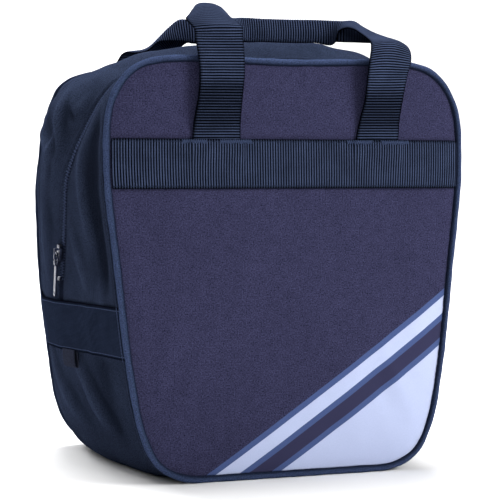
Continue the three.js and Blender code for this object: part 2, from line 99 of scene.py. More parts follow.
def pchip_rows(X, Y, x):
    """Monotone cubic for many rows at once: X, Y are (n, k), x is (n,)."""
    h = np.diff(X, axis=1)
    d = np.diff(Y, axis=1) / h
    m = np.zeros_like(Y)
    m[:, 0], m[:, -1] = d[:, 0], d[:, -1]
    a, b = d[:, :-1], d[:, 1:]
    h0, h1 = h[:, :-1], h[:, 1:]
    ok = a * b > 0
    aa, bb = np.where(ok, a, 1), np.where(ok, b, 1)
    m[:, 1:-1] = np.where(ok, 3 * (h0 + h1) / ((2 * h1 + h0) / aa + (h1 + 2 * h0) / bb), 0)
    i = np.clip((x[:, None] >= X[:, 1:-1]).sum(1), 0, X.shape[1] - 2)
    r = np.arange(len(x))
    hh = h[r, i]
    t = np.clip((x - X[r, i]) / hh, 0, 1)
    return ((2 * t**3 - 3 * t**2 + 1) * Y[r, i] + (t**3 - 2 * t**2 + t) * hh * m[r, i]
            + (-2 * t**3 + 3 * t**2) * Y[r, i + 1] + (t**3 - t**2) * hh * m[r, i + 1])


def smooth_loop(a, sigma):
    """Gaussian smoothing of a closed table along axis 0, sigma in samples."""
    n = len(a)
    k = np.arange(-int(4 * sigma), int(4 * sigma) + 1)
    g = np.exp(-0.5 * (k / sigma) ** 2); g /= g.sum()
    out = np.zeros_like(a)
    for kk, w in zip(k, g):
        out += w * np.roll(a, kk, axis=0)
    return out


def bump(x, c, w):
    return np.exp(-((x - c) / w) ** 2)


def ramp(x, a, b):
    t = np.clip((x - a) / (b - a), 0, 1)
    return t * t * (3 - 2 * t)


# ------------------------------------------------------------------ seam outline
def catmull_closed(pts, t):
    l = len(pts)
    out = np.zeros((len(t), 2))
    for k, tt in enumerate(t):
        p = l * tt
        i = int(math.floor(p)); w = p - i
        q = [np.array(pts[(i + j) % l]) for j in (-1, 0, 1, 2)]
        dt = [max(np.sum((q[j] - q[j + 1]) ** 2) ** 0.25, 1e-4) for j in range(3)]
        t1 = (q[1] - q[0]) / dt[0] - (q[2] - q[0]) / (dt[0] + dt[1]) + (q[2] - q[1]) / dt[1]
        t2 = (q[2] - q[1]) / dt[1] - (q[3] - q[1]) / (dt[1] + dt[2]) + (q[3] - q[2]) / dt[2]
        t1 *= dt[1]; t2 *= dt[1]
        out[k] = q[1] + t1 * w + (-3 * q[1] + 3 * q[2] - 2 * t1 - t2) * w**2 + (2 * q[1] - 2 * q[2] + t1 + t2) * w**3
    return out


rt = [(w, LEVELS[i] * BODY_H) for i, w in enumerate(HALF_W)]
ctrl = [(0, 0)] + rt + [(0, BODY_H)] + [(-x, z) for x, z in rt[::-1]]
raw = catmull_closed(ctrl, np.arange(2880) / 2880)
raw[:, 1] = np.maximum(raw[:, 1], 0)


def even(loop, n):
    c = np.vstack([loop, loop[:1]])
    s = np.concatenate([[0], np.cumsum(np.linalg.norm(np.diff(c, axis=0), axis=1))])
    t = np.arange(n) / n * s[-1]
    return np.stack([np.interp(t, s, c[:, k]) for k in (0, 1)], 1), s[-1]


NL = 2200
OUT, LOOP = even(raw, NL)
OUT = smooth_loop(OUT, 9)
OUT, LOOP = even(OUT, NL)
# the loop starts at the bottom middle
k0 = np.argmin(np.abs(OUT[:, 0]) + (OUT[:, 1] > 50) * 1e6)
OUT = np.roll(OUT, -k0, axis=0)
TAN = np.roll(OUT, -4, 0) - np.roll(OUT, 4, 0)
TAN /= np.linalg.norm(TAN, axis=1)[:, None]
NOR = np.stack([TAN[:, 1], -TAN[:, 0]], 1)
SG = np.arange(NL + 1) / NL * LOOP


def loop_at(table, s):
    s = np.mod(s, LOOP)
    t = np.concatenate([table, table[:1]])
    if t.ndim == 1:
        return np.interp(s, SG, t)
    return np.stack([np.interp(s, SG, t[:, k]) for k in range(t.shape[1])], -1)


def s_at_z(z, side):
    for i in range(NL):
        a, b = OUT[i], OUT[(i + 1) % NL]
        if side > 0 and a[0] > 60 and a[1] <= z < b[1]:
            return SG[i] + (SG[i + 1] - SG[i]) * (z - a[1]) / (b[1] - a[1])
        if side < 0 and a[0] < -60 and a[1] > z >= b[1]:
            return SG[i] + (SG[i + 1] - SG[i]) * (z - a[1]) / (b[1] - a[1])
    raise ValueError(z)


def s_at_x(x):
    for i in range(NL):
        a, b = OUT[i], OUT[(i + 1) % NL]
        if a[1] > 300 and a[0] >= x > b[0]:
            return SG[i] + (SG[i + 1] - SG[i]) * (x - a[0]) / (b[0] - a[0])
    raise ValueError(x)


SIDE = [
    (11.2, 15, [0, 2, 4, 6, 6, 5, 2.5, 0]),
    (35, 15, [0, 3, 7, 11, 12, 10, 5, 0]),
    (80, 15, [0, 3, 7, 11.3, 12.8, 10, 4, -1.5]),
    (134, 15, [0, 3, 7, 11.4, 12.8, 10.5, 4.3, -1.5]),
    (163, 8, [0, 2.5, 6, 10.6, 12.8, 10.3, 3.5, -2.5]),
    (200, -3, [0, 2, 5, 8.4, 12, 10, 2, -5.5]),
    (227, -15, [0, 1.5, 3, 5.1, 11, 9.5, 0.5, -8]),
    (250, -25, [0, 0.5, 0.5, 0, 9, 7.5, -2, -11.5]),
    (270, -30, [0, -1, -3.5, -7.5, 5, 6.3, -3.5, -13]),
]
LEFT = [
    (288, -32, [0, -2, -6.5, -12, 1.5, 5, -5, -14.3]),
    (305, -36, [0, -2.5, -8, -12.5, -2.8, 0.2, -6.3, -12]),
    (312, -37, [0, -2.5, -7.5, -11.5, -3.3, -1.8, -5, -9]),
]
RIGHT = [
    (288, -32, [0, -1, -3.5, -6, 4, 6.5, -3, -13]),
    (305, -36, [0, -1, -2.5, -4, 4, 5.5, -1, -8]),
    (312, -37, [0, -0.5, -1, -1, 10.5, 11.5, 4, -4]),
]
TOP = [
    (107, -38, [0, 0.5, 2, 4, 17.5, 18.5, 10, 0]),
    (90, -38, [0, 0.5, 2, 3.7, 18.5, 20.5, 12, 0]),
    (65, -38, [0, 1, 2.5, 4, 23, 24, 13.5, 0]),
    (30, -38, [0, 1, 2.5, 4.5, 23.8, 24, 13.5, 0]),
    (0, -38, [0, 1, 2.5, 4, 22, 22, 12.5, 0]),
    (-40, -38, [0, 1, 2, 3, 18, 17.5, 10, 0]),
    (-60, -38, [0, 0.5, 1, 2, 14.3, 14, 8.5, 0]),
    (-80, -38, [0, 0, -1, -1, 9, 9.5, 5.7, -0.8]),
    (-94, -38, [0, -1, -3, -4.5, 3.7, 4.2, 2.1, -2.2]),
    (-107, -38, [0, -1.5, -5, -8, -2.3, 0, -0.3, -4.2]),
]


def out_x(z):
    return float(loop_at(OUT, np.array([s_at_z(z, 1)]))[0, 0])


X0, X1 = out_x(134) + 11.4, out_x(227) + 5.1
flat3 = [0, 3.2, 3.2, 3.2, 3.2, 3.2, 3.2, 0]
rows = [(0.0, 15, flat3), (60.0, 15, flat3)]
for sgn in (1, -1):
    lst = []
    for z, yz, o in SIDE + (RIGHT if sgn > 0 else LEFT):
        o = list(o)
        if 134 <= z <= 227:
            o[3] = X0 + (X1 - X0) * (z - 134) / 93 - out_x(z)
            yz = 15 - 30 * (z - 134) / 93
        lst.append((s_at_z(z, sgn), yz, o))
    if sgn > 0:
        rows += lst + [(s_at_x(x), yz, o) for x, yz, o in TOP]
    else:
        rows += lst[::-1]
rows += [(LOOP - 60.0, 15, flat3), (LOOP, 15, flat3)]
RS = np.array([r[0] for r in rows])
RV = np.array([[r[1]] + list(r[2]) for r in rows], float)
grid_s = np.arange(NL) / NL * LOOP
TAB = pchip_rows(np.repeat(RS[None], 9, 0)[:, :], RV.T, np.zeros(9))  # computed but not used
TABLE = np.stack([pchip_rows(np.repeat(RS[None], NL, 0), np.repeat(RV[:, k][None], NL, 0), grid_s) for k in range(9)], 1)
TABLE = smooth_loop(TABLE, 7)


def zip_y(s):
    return loop_at(TABLE[:, 0], s)


def off(s, y):
    """Distance of the gusset's surface from the seam outline, mm."""
    s, y = np.broadcast_arrays(np.asarray(s, float), np.asarray(y, float))
    sh = s.shape
    s, y = s.ravel(), y.ravel()
    v = loop_at(TABLE, s)
    z = v[:, 0]
    X = np.stack([FRONT_Y + (z - FRONT_Y) * k / 3 for k in range(4)] + [z + (REAR_Y - z) * k / 4 for k in range(1, 5)], 1)
    return pchip_rows(X, v[:, 1:9], y).reshape(sh)


def put(s, y, o):
    """Row-frame point (mm, floor at 0) o mm off the seam outline at depth y."""
    s, y, o = np.broadcast_arrays(np.asarray(s, float), np.asarray(y, float), np.asarray(o, float))
    p = loop_at(OUT, s); n = loop_at(NOR, s)
    n = n / np.linalg.norm(n, axis=-1, keepdims=True)
    x = p[..., 0] + n[..., 0] * o
    z = np.maximum(p[..., 1] + n[..., 1] * o, -FLOOR)
    return np.stack([x, y * (1 - LEAN * z), z + FLOOR], -1)


def nz(P, scale, seed, octaves=2):
    """Smooth noise at points P (n, 3) in mm, about -1 to 1."""
    o = Vector((seed * 17.3, seed * 5.1, seed * 9.7))
    flat = P.reshape(-1, 3)
    out = np.zeros(len(flat))
    for k in range(octaves):
        f = 2.0**k / scale
        out += np.array([noise.noise(Vector((p[0] * f, p[1] * f, p[2] * f)) + o) for p in flat]) / 2**k
    return out.reshape(P.shape[:-1])


# ------------------------------------------------------------------ mesh helpers
def make(name, verts, faces, mats, mat_idx=None, uv=None, attrs=None, smooth=True):
    me = bpy.data.meshes.new(name)
    me.from_pydata([tuple(v) for v in (np.asarray(verts) * MM).tolist()], [], [tuple(f) for f in faces])
    me.validate()
    for m in mats:
        me.materials.append(m)
    if mat_idx is not None:
        me.polygons.foreach_set("material_index", np.asarray(mat_idx, np.int32))
    if smooth:
        me.polygons.foreach_set("use_smooth", np.ones(len(me.polygons), bool))
    if uv is not None:
        lay = me.uv_layers.new(name="fabric")
        loops = np.zeros(len(me.loops), np.int32)
        me.loops.foreach_get("vertex_index", loops)
        lay.data.foreach_set("uv", (np.asarray(uv, np.float32)[loops] * MM).ravel())
    for k, a in (attrs or {}).items():
        a = np.asarray(a, np.float32)
        kind = "FLOAT" if a.ndim == 1 else "FLOAT_VECTOR"
        at = me.attributes.new(k, kind, "POINT")
        at.data.foreach_set("value" if a.ndim == 1 else "vector", a.ravel())
    me.update()
    ob = bpy.data.objects.new(name, me)
    bpy.context.scene.collection.objects.link(ob)
    return ob


def grid_faces(ni, nj, base=0, wrap_i=False, flip=False):
    i = np.arange(ni if wrap_i else ni - 1)[:, None]
    j = np.arange(nj - 1)[None]
    a = base + i * nj + j
    b = base + ((i + 1) % ni) * nj + j
    f = np.stack([a, b, b + 1, a + 1], -1).reshape(-1, 4)
    return f[:, ::-1] if flip else f


def shell(name, outer, inner, uv, mats, wrap=False, attrs=None, rim_mat=0):
    """Closed shell between two grids (ni, nj, 3); outer faces use material 0, inner faces 1."""
    ni, nj = outer.shape[:2]
    n = ni * nj
    V = np.vstack([outer.reshape(-1, 3), inner.reshape(-1, 3)])
    fo = grid_faces(ni, nj, 0, wrap)
    fi = grid_faces(ni, nj, n, wrap, True)
    # orientation from the shell's own volume
    rim = []
    lim = ni if wrap else ni - 1
    i = np.arange(lim)
    for j, fl in ((0, False), (nj - 1, True)):
        a = i * nj + j; b = ((i + 1) % ni) * nj + j
        q = np.stack([a, a + n, b + n, b], -1)
        rim.append(q[:, ::-1] if fl else q)
    if not wrap:
        jj = np.arange(nj - 1)
        for r, fl in ((0, True), (ni - 1, False)):
            a = r * nj + jj
            q = np.stack([a, a + n, a + 1 + n, a + 1], -1)
            rim.append(q[:, ::-1] if fl else q)
    rim = np.vstack(rim)
    F = np.vstack([fo, fi, rim])
    T = np.vstack([F[:, [0, 1, 2]], F[:, [0, 2, 3]]])
    vol = np.einsum("ij,ij->i", V[T[:, 0]], np.cross(V[T[:, 1]], V[T[:, 2]])).sum()
    if vol < 0:
        F = F[:, ::-1]
    idx = np.concatenate([np.zeros(len(fo)), np.ones(len(fi)) * (len(mats) > 1), np.full(len(rim), rim_mat)])
    UV = np.vstack([uv.reshape(-1, 2)] * 2)
    at = {k: np.concatenate([v.reshape(-1)] * 2) if v.ndim == 2 else np.vstack([v.reshape(-1, 3)] * 2) for k, v in (attrs or {}).items()}
    return make(name, V, F.tolist(), mats, idx, UV, at)


def normals_of(G, wrap=False):
    du = np.gradient(G, axis=0)
    if wrap:
        du = (np.roll(G, -1, 0) - np.roll(G, 1, 0)) / 2
    dv = np.gradient(G, axis=1)
    n = np.cross(du, dv)
    return n / np.maximum(np.linalg.norm(n, axis=-1, keepdims=True), 1e-9)


def tube(name, centre, radius, sides, mats, closed, up=None, attrs=None, squeeze=None, painted_light_dir=None):
    """Closed round cord along centre (n, 3)."""
    n = len(centre)
    if closed:
        t = np.roll(centre, -1, 0) - np.roll(centre, 1, 0)
    else:
        t = np.gradient(centre, axis=0)
    t /= np.linalg.norm(t, axis=1)[:, None]
    upv = np.array([0, 1.0, 0]) if up is None else np.asarray(up, float)
    a = np.cross(t, upv); a /= np.linalg.norm(a, axis=1)[:, None]
    b = np.cross(a, t)
    th = np.arange(sides) * 2 * np.pi / sides
    r = np.full(n, radius) if np.isscalar(radius) else radius
    D = a[:, None] * np.cos(th)[None, :, None] + b[:, None] * np.sin(th)[None, :, None]
    V = centre[:, None] + r[:, None, None] * D
    # painted highlight on the tube's side facing the given direction and painted shade round the rest, stored as the
    # per-point shading attribute
    if painted_light_dir is not None:
        attrs = {"painted_shading": (6.0 * np.einsum("ijk,ik->ij", D, painted_light_dir) - 3.4).reshape(-1)}
    if squeeze is not None:
        V = squeeze(V)
    i = np.arange(n if closed else n - 1)[:, None]; j = np.arange(sides)[None]
    A = i * sides + j; B = ((i + 1) % n) * sides + j; A2 = i * sides + (j + 1) % sides; B2 = ((i + 1) % n) * sides + (j + 1) % sides
    F = np.stack([A, A2, B2, B], -1).reshape(-1, 4).tolist()
    V = V.reshape(-1, 3)
    if not closed:
        F.append(list(range(sides))[::-1]); F.append([(n - 1) * sides + k for k in range(sides)])
    ln = np.concatenate([[0], np.cumsum(np.linalg.norm(np.diff(centre, axis=0), axis=1))])
    UV = np.stack(np.broadcast_arrays(ln[:, None], th[None] * radius if np.isscalar(radius) else th[None] * r[:, None]), -1).reshape(-1, 2)
    ob = make(name, V, F, mats, None, UV, attrs)
    fix_out(ob)
    return ob


def fix_out(ob):
    me = ob.data
    co = np.array([v.co for v in me.vertices], float)
    vol = 0.0
    me.calc_loop_triangles()
    T = np.array([t.vertices for t in me.loop_triangles])
    vol = np.einsum("ij,ij->i", co[T[:, 0]], np.cross(co[T[:, 1]], co[T[:, 2]])).sum()
    if vol < 0:
        me.flip_normals()


def beads(name, P, A, length, radius, mats, B=None, flat=1.0, sides=6):
    """Many small capsules in one mesh: centres P, directions A, all the same size."""
    P = np.asarray(P, float); A = np.asarray(A, float)
    A = A / np.linalg.norm(A, axis=1)[:, None]
    ref = np.tile(np.array([0.3, 0.1, 0.95]), (len(P), 1)) if B is None else np.asarray(B, float)
    U = ref - A * np.einsum("ij,ij->i", ref, A)[:, None]
    U /= np.linalg.norm(U, axis=1)[:, None]
    W = np.cross(A, U)
    prof = [(-0.5, 0.45), (-0.36, 0.9), (0.0, 1.05), (0.36, 0.9), (0.5, 0.45)]
    th = np.arange(sides) * 2 * np.pi / sides
    V, F = [], []
    ring = []
    for l, r in prof:
        ring.append(A[:, None] * (l * length) + radius * r * (U[:, None] * np.cos(th)[None, :, None] * flat + W[:, None] * np.sin(th)[None, :, None]))
    K = np.stack(ring, 1) + P[:, None, None]          # n, rings, sides, 3
    n, m = len(P), len(prof)
    V = K.reshape(-1, 3)
    base = (np.arange(n) * m * sides)[:, None, None]
    i = np.arange(m - 1)[None, :, None]; j = np.arange(sides)[None, None]
    a = base + i * sides + j; b = base + (i + 1) * sides + j
    a2 = base + i * sides + (j + 1) % sides; b2 = base + (i + 1) * sides + (j + 1) % sides
    F = np.stack([a, a2, b2, b], -1).reshape(-1, 4).tolist()
    for k in range(n):
        o = k * m * sides
        F.append([o + q for q in range(sides)][::-1])
        F.append([o + (m - 1) * sides + q for q in range(sides)])
    ob = make(name, V, F, mats)
    fix_out(ob)
    return ob


# ------------------------------------------------------------------ materials
def srgb(r, g, b):
    return tuple((c / 255 / 12.92 if c / 255 <= 0.04045 else ((c / 255 + 0.055) / 1.055) ** 2.4) for c in (r, g, b)) + (1.0,)


class Mat:
    def __init__(self, name):
        self.m = bpy.data.materials.new(name)
        self.m.use_nodes = True
        self.t = self.m.node_tree
        self.b = self.t.nodes["Principled BSDF"]

    def n(self, kind, **kw):
        x = self.t.nodes.new(kind)
        for k, v in kw.items():
            setattr(x, k, v)
        return x

    def l(self, a, b):
        self.t.links.new(a, b)

    def math(self, op, a, b=None, c=None, clamp=False):
        x = self.n("ShaderNodeMath", operation=op, use_clamp=clamp)
        for i, v in enumerate((a, b, c)):
            if v is None:
                continue
            if isinstance(v, (int, float)):
                x.inputs[i].default_value = v
            else:
                self.l(v, x.inputs[i])
        return x.outputs[0]

    def mix(self, fac, a, b, mode="MIX"):
        x = self.n("ShaderNodeMix", data_type="RGBA", blend_type=mode)
        for i, v in ((0, fac), (6, a), (7, b)):
            if isinstance(v, (int, float, tuple)):
                x.inputs[i].default_value = v
            else:
                self.l(v, x.inputs[i])
        return x.outputs[2]

    def noise(self, vec, scale, detail=3.0, rough=0.55):
        x = self.n("ShaderNodeTexNoise")
        x.inputs["Scale"].default_value = scale
        x.inputs["Detail"].default_value = detail
        x.inputs["Roughness"].default_value = rough
        self.l(vec, x.inputs["Vector"])
        return x.outputs["Fac"]

    def uv(self):
        return self.n("ShaderNodeUVMap", uv_map="fabric").outputs[0]

    def attr(self, name):
        return self.n("ShaderNodeAttribute", attribute_name=name)

    def spread(self, v, a, b, lo=0.0, hi=1.0):
        x = self.n("ShaderNodeMapRange")
        x.inputs[1].default_value, x.inputs[2].default_value = a, b
        x.inputs[3].default_value, x.inputs[4].default_value = lo, hi
        self.l(v, x.inputs[0])
        return x.outputs[0]

    def bump(self, height, strength, dist):
        x = self.n("ShaderNodeBump")
        x.inputs["Strength"].default_value = strength
        x.inputs["Distance"].default_value = dist
        self.l(height, x.inputs["Height"])
        self.l(x.outputs[0], self.b.inputs["Normal"])
        return x

    def set(self, **kw):
        for k, v in kw.items():
            s = self.b.inputs[k.replace("_", " ")]
            if isinstance(v, (int, float, tuple)):
                s.default_value = v
            else:
                self.l(v, s)


def weave(M, uv, pitch):
    """Plain weave height 0..1 in mm-scaled UV."""
    sep = M.n("ShaderNodeSeparateXYZ"); M.l(uv, sep.inputs[0])
    k = 2 * math.pi / (pitch * MM)
    sx = M.math("SINE", M.math("MULTIPLY", sep.outputs[0], k))
    sy = M.math("SINE", M.math("MULTIPLY", sep.outputs[1], k))
    prod = M.math("MULTIPLY", sx, sy)
    return M.math("MULTIPLY_ADD", prod, 0.5, 0.5)


def fabric(name, light, dark, pitch=0.95, rough=0.82, sheen=0.0, sheen_tint=(0.6, 0.65, 0.9, 1), spec=0.0, bump=0.35, extra=None):
    M = Mat(name)
    uv = M.uv()
    w = weave(M, uv, pitch)
    fine = M.noise(uv, 900, 2.0, 0.7)
    mid = M.noise(uv, 140, 3.0)
    big = M.noise(uv, 14, 2.0)
    v = M.math("ADD", M.math("MULTIPLY", w, 0.3), M.math("MULTIPLY", fine, 0.6))
    v = M.math("ADD", v, M.math("MULTIPLY", mid, 0.1))
    col = M.mix(M.spread(v, 0.38, 0.62), dark, light)
    col = M.mix(M.spread(big, 0.35, 0.7, 0.0, 0.12), col, dark)
    if extra:
        col = extra(M, uv, col, v)
    M.set(Base_Color=col, Roughness=M.spread(mid, 0.2, 0.8, rough - 0.06, rough + 0.08), Sheen_Weight=sheen,
          Sheen_Roughness=0.5, Sheen_Tint=sheen_tint, Specular_IOR_Level=spec)
    h = M.math("ADD", M.math("MULTIPLY", w, 0.6), M.math("MULTIPLY", fine, 0.4))
    M.bump(h, bump, 0.0003)
    return M.m


def corner_print(M, uv, col, v):
    """Plain diagonal corner blocks, light with a mid-blue edge, set low on the right."""
    sep = M.n("ShaderNodeSeparateXYZ"); M.l(uv, sep.inputs[0])
    x, z = sep.outputs[0], sep.outputs[1]
    ang = math.radians(34)
    # distance above the diagonal, metres
    d = M.math("SUBTRACT", M.math("MULTIPLY", z, math.cos(ang)), M.math("MULTIPLY", x, math.sin(ang)))
    light = M.mix(M.spread(v, 0.2, 0.8), srgb(158, 168, 198), srgb(176, 184, 212))
    blue = M.mix(M.spread(v, 0.2, 0.8), srgb(56, 70, 108), srgb(72, 86, 128))

    def below(c):
        return M.math("LESS_THAN", d, c)
    col = M.mix(below(0.0420), col, blue)
    col = M.mix(below(0.0375), col, light)
    col = M.mix(below(0.0265), col, blue)
    col = M.mix(below(0.0220), col, srgb(48, 48, 72))
    col = M.mix(below(0.0115), col, blue)
    col = M.mix(below(0.0070), col, light)
    return col


def apply_painted_shading(M, uv, col, v):
    """Painted shade and painted highlight: scales the colour by a per-point shading attribute, darker in fold hollows,
    beside seam ridges and round the piping's far side, lighter on fold crests, seam ridges and the piping's outward
    side.
    """
    k = M.spread(M.attr("painted_shading").outputs["Fac"], -3.0, 2.4, 0.42, 1.5)
    x = M.n("ShaderNodeVectorMath", operation="SCALE")
    M.l(col, x.inputs[0]); M.l(k, x.inputs["Scale"])
    return x.outputs[0]


MAT_PANEL = fabric("panel_fabric", srgb(64, 64, 94), srgb(17, 17, 30), extra=corner_print)
# the body fabric and the piping cover below take painted shade and painted highlight from a per-point shading attribute
MAT_BODY = fabric("body_fabric", srgb(46, 54, 74), srgb(12, 16, 26), extra=apply_painted_shading)
MAT_LINING = fabric("lining", srgb(112, 114, 126), srgb(74, 76, 88), pitch=1.6, rough=0.75, sheen=0.004, bump=0.5)
MAT_BIND = fabric("binding_tape", srgb(46, 50, 64), srgb(22, 24, 34), pitch=1.2, sheen=0.004, bump=0.8)
MAT_CUP = fabric("foam_cover", srgb(88, 90, 102), srgb(54, 56, 66), pitch=1.4, sheen=0.004, bump=0.5)
MAT_PIPE = fabric("piping_cover", srgb(54, 65, 93), srgb(22, 28, 44), pitch=0.9, rough=0.6, spec=0.0, extra=apply_painted_shading)


def webbing_mat(name, light, dark, deep):
    M = Mat(name)
    uv = M.uv()
    rib = M.attr("rib").outputs["Fac"]
    fine = M.noise(uv, 1400, 2.0, 0.7)
    mid = M.noise(uv, 60, 2.0)
    sep = M.n("ShaderNodeSeparateXYZ"); M.l(uv, sep.inputs[0])
    yarn = M.math("MULTIPLY_ADD", M.math("SINE", M.math("MULTIPLY", sep.outputs[1], 2 * math.pi / 0.0011)), 0.5, 0.5)
    v = M.math("ADD", M.math("MULTIPLY", rib, 0.72), M.math("MULTIPLY", fine, 0.28))
    v = M.math("MULTIPLY", v, M.math("MULTIPLY_ADD", yarn, 0.18, 0.86))
    # painted light: the rib grooves take the near-black dark colour as painted shade, the rib tops take the light
    # colour, the webbing's own blue raised into a painted highlight
    col = M.mix(M.spread(v, 0.3, 0.8), dark, light)
    col = M.mix(M.spread(mid, 0.35, 0.75, 0.0, 0.35), col, deep)
    M.set(Base_Color=col, Roughness=0.6, Specular_IOR_Level=0.0)
    M.bump(M.math("ADD", M.math("MULTIPLY", yarn, 0.5), M.math("MULTIPLY", fine, 0.5)), 0.5, 0.00025)
    return M.m


MAT_WEB = webbing_mat("webbing", srgb(62, 72, 98), srgb(2, 3, 6), srgb(10, 13, 21))
# painted shade: a darker copy of the webbing, used for the side bands
MAT_WEB_SHADED = webbing_mat("webbing_side_shaded", srgb(44, 53, 75), srgb(3, 4, 8), srgb(12, 15, 24))


def solid_mat(name, c1, c2, rough, metal=0.0, scale=600, bump=0.15, coat=0.0, spec=0.5):
    M = Mat(name)
    tc = M.n("ShaderNodeTexCoord").outputs["Object"]
    a = M.noise(tc, scale, 3.0)
    b = M.noise(tc, scale / 8, 3.0)
    M.set(Base_Color=M.mix(M.spread(a, 0.3, 0.7), c1, c2), Metallic=metal,
          Roughness=M.spread(b, 0.3, 0.7, rough - 0.06, rough + 0.08), Coat_Weight=coat, Specular_IOR_Level=spec)
    M.bump(a, bump, 0.0001)
    return M.m


MAT_METAL = solid_mat("black_nickel", srgb(54, 60, 80), srgb(32, 36, 50), 0.36, 1.0, 900, 0.08)
MAT_COIL = solid_mat("nylon_coil", srgb(58, 67, 92), srgb(36, 43, 62), 0.6, 0.0, 1500, 0.1, spec=0.0)
MAT_THREAD = solid_mat("thread", srgb(66, 76, 104), srgb(44, 52, 74), 0.7, 0.0, 3000, 0.2, spec=0.0)
MAT_THREAD2 = solid_mat("thread_dark", srgb(40, 47, 67), srgb(22, 27, 42), 0.7, 0.0, 3000, 0.2, spec=0.0)
MAT_TACK = solid_mat("thread_tack", srgb(58, 69, 96), srgb(34, 41, 60), 0.7, 0.0, 3000, 0.2, spec=0.0)
MAT_BOARD = solid_mat("base_board_cover", srgb(70, 72, 80), srgb(48, 49, 56), 0.6, 0.0, 400, 0.3, spec=0.1)
MAT_TAPE = fabric("zip_tape", srgb(30, 36, 53), srgb(13, 16, 27), pitch=1.3, rough=0.8, bump=0.9)


# ------------------------------------------------------------------ panels
def seam_d(X, Z, outline):
    """Distance inside a closed outline, mm (coarse but smooth)."""
    P = np.stack([X.ravel(), Z.ravel()], 1)
    d = np.full(len(P), 1e9)
    q = outline[::6]
    for k in range(0, len(P), 20000):
        a = P[k:k + 20000]
        d[k:k + 20000] = np.sqrt(((a[:, None] - q[None]) ** 2).sum(-1)).min(1)
    return d.reshape(X.shape)


def half_width(outline, z):
    m = outline[:, 0] > 0
    o = outline[m]
    o = o[(o[:, 1] > 0.3) & (o[:, 1] < outline[:, 1].max() - 0.3)]
    k = np.argsort(o[:, 1])
    return np.interp(z, o[k, 1], o[k, 0])


def panel_grid(outline, n, m):
    """Grid filling a closed outline: four sides meet at the rounded corners' middles."""
    tt = np.roll(outline, -6, 0) - np.roll(outline, 6, 0)
    ang = np.unwrap(np.arctan2(tt[:, 1], tt[:, 0]))
    ang -= ang[0]
    c = [int(np.argmax(ang > math.radians(a))) for a in (45, 135, 225, 315)]

    def side(a, b, k):
        idx = np.arange(a, b + 1) % NL
        pts = outline[idx]
        s = np.concatenate([[0], np.cumsum(np.linalg.norm(np.diff(pts, axis=0), axis=1))])
        q = np.linspace(0, 1, k)
        q = q + 0.04 * np.sin(2 * np.pi * q) * -1
        return np.stack([np.interp(q * s[-1], s, pts[:, d]) for d in (0, 1)], -1)
    bot = side(c[3] - NL, c[0], n)
    rgt = side(c[0], c[1], m)
    top = side(c[1], c[2], n)[::-1]
    lft = side(c[2], c[3], m)[::-1]
    u = np.linspace(0, 1, n)[:, None, None]; v = np.linspace(0, 1, m)[None, :, None]
    G = ((1 - v) * bot[:, None] + v * top[:, None] + (1 - u) * lft[None] + u * rgt[None]
         - (1 - u) * (1 - v) * bot[0] - u * (1 - v) * bot[-1] - (1 - u) * v * top[0] - u * v * top[-1])
    return G[..., 0].copy(), G[..., 1].copy()


F_OUT = OUT + NOR * (-CORD_R + 0.5)
# rear outline follows the gusset's rear edge
R_OFF = TABLE[:, 8]
R_OUT = OUT + NOR * (R_OFF - CORD_R + 0.5)[:, None]
R_OUT[:, 1] = np.maximum(R_OUT[:, 1], 0)


def front_face(X, Z, detail=True):
    """Depth (mm, already leaned) of the front panel's outer face at (X, Z), Z measured from the seam line's foot."""
    d = seam_d(X, Z, F_OUT)
    crown = 4.6 * (1 - np.exp(-d / 30)) + 0.9 * (1 - np.exp(-d / 5))
    # the belly is fullest a little under the middle
    crown += 2.2 * np.exp(-((X / 85) ** 2 + ((Z - 120) / 80) ** 2)) * np.clip(d / 40, 0, 1)
    if detail:
        e = np.clip(d / 16, 0, 1)
        below = BAND_TOP - WEB_W - Z
        fold = ramp(below, -2, 10) * np.exp(-np.clip(below - 6, 0, None) / 34)
        crown += fold * e * (0.75 * np.sin(X / 8.6 + 0.8) + 0.5 * np.sin(X / 5.1 + 2.0 + Z / 60)) * (0.7 + 0.3 * np.sin(X / 31))
        above = Z - BAND_TOP
        fold2 = ramp(above, -2, 8) * np.exp(-np.clip(above - 4, 0, None) / 22)
        crown += fold2 * e * 0.5 * np.sin(X / 9.5 + 2.1)
        # long soft diagonals at the lower left and right
        for cx, cz, ang, ln, wd, amp in ((-88, 70, 62, 46, 7, 1.0), (-102, 105, 74, 50, 6, 0.8), (-70, 42, 48, 34, 7, 0.8),
                                         (92, 66, 118, 44, 8, 0.8), (-40, 150, 80, 42, 10, 0.5), (30, 168, 96, 40, 11, 0.5),
                                         (104, 150, 100, 44, 8, 0.6), (-100, 190, 84, 40, 8, 0.7), (60, 100, 70, 50, 12, 0.5)):
            ca, sa = math.cos(math.radians(ang)), math.sin(math.radians(ang))
            a = (X - cx) * ca + (Z - cz) * sa
            b = -(X - cx) * sa + (Z - cz) * ca
            crown += e * amp * np.exp(-(a / ln) ** 2) * (np.exp(-(b / wd) ** 2) - 0.55 * np.exp(-((b - 1.7 * wd) / (1.2 * wd)) ** 2))
        P = np.stack([X, Z, np.zeros_like(X)], -1)
        crown += e * (0.55 * nz(P, 42, 3) + 0.16 * nz(P, 12, 5, 1))
        # pinched under the stitched band
        crown -= 0.8 * ramp(Z, BAND_TOP - WEB_W - 5, BAND_TOP - WEB_W + 3) * (1 - ramp(Z, BAND_TOP - 3, BAND_TOP + 5)) * e
    return (FRONT_Y - 0.2) * (1 - LEAN * Z) - crown


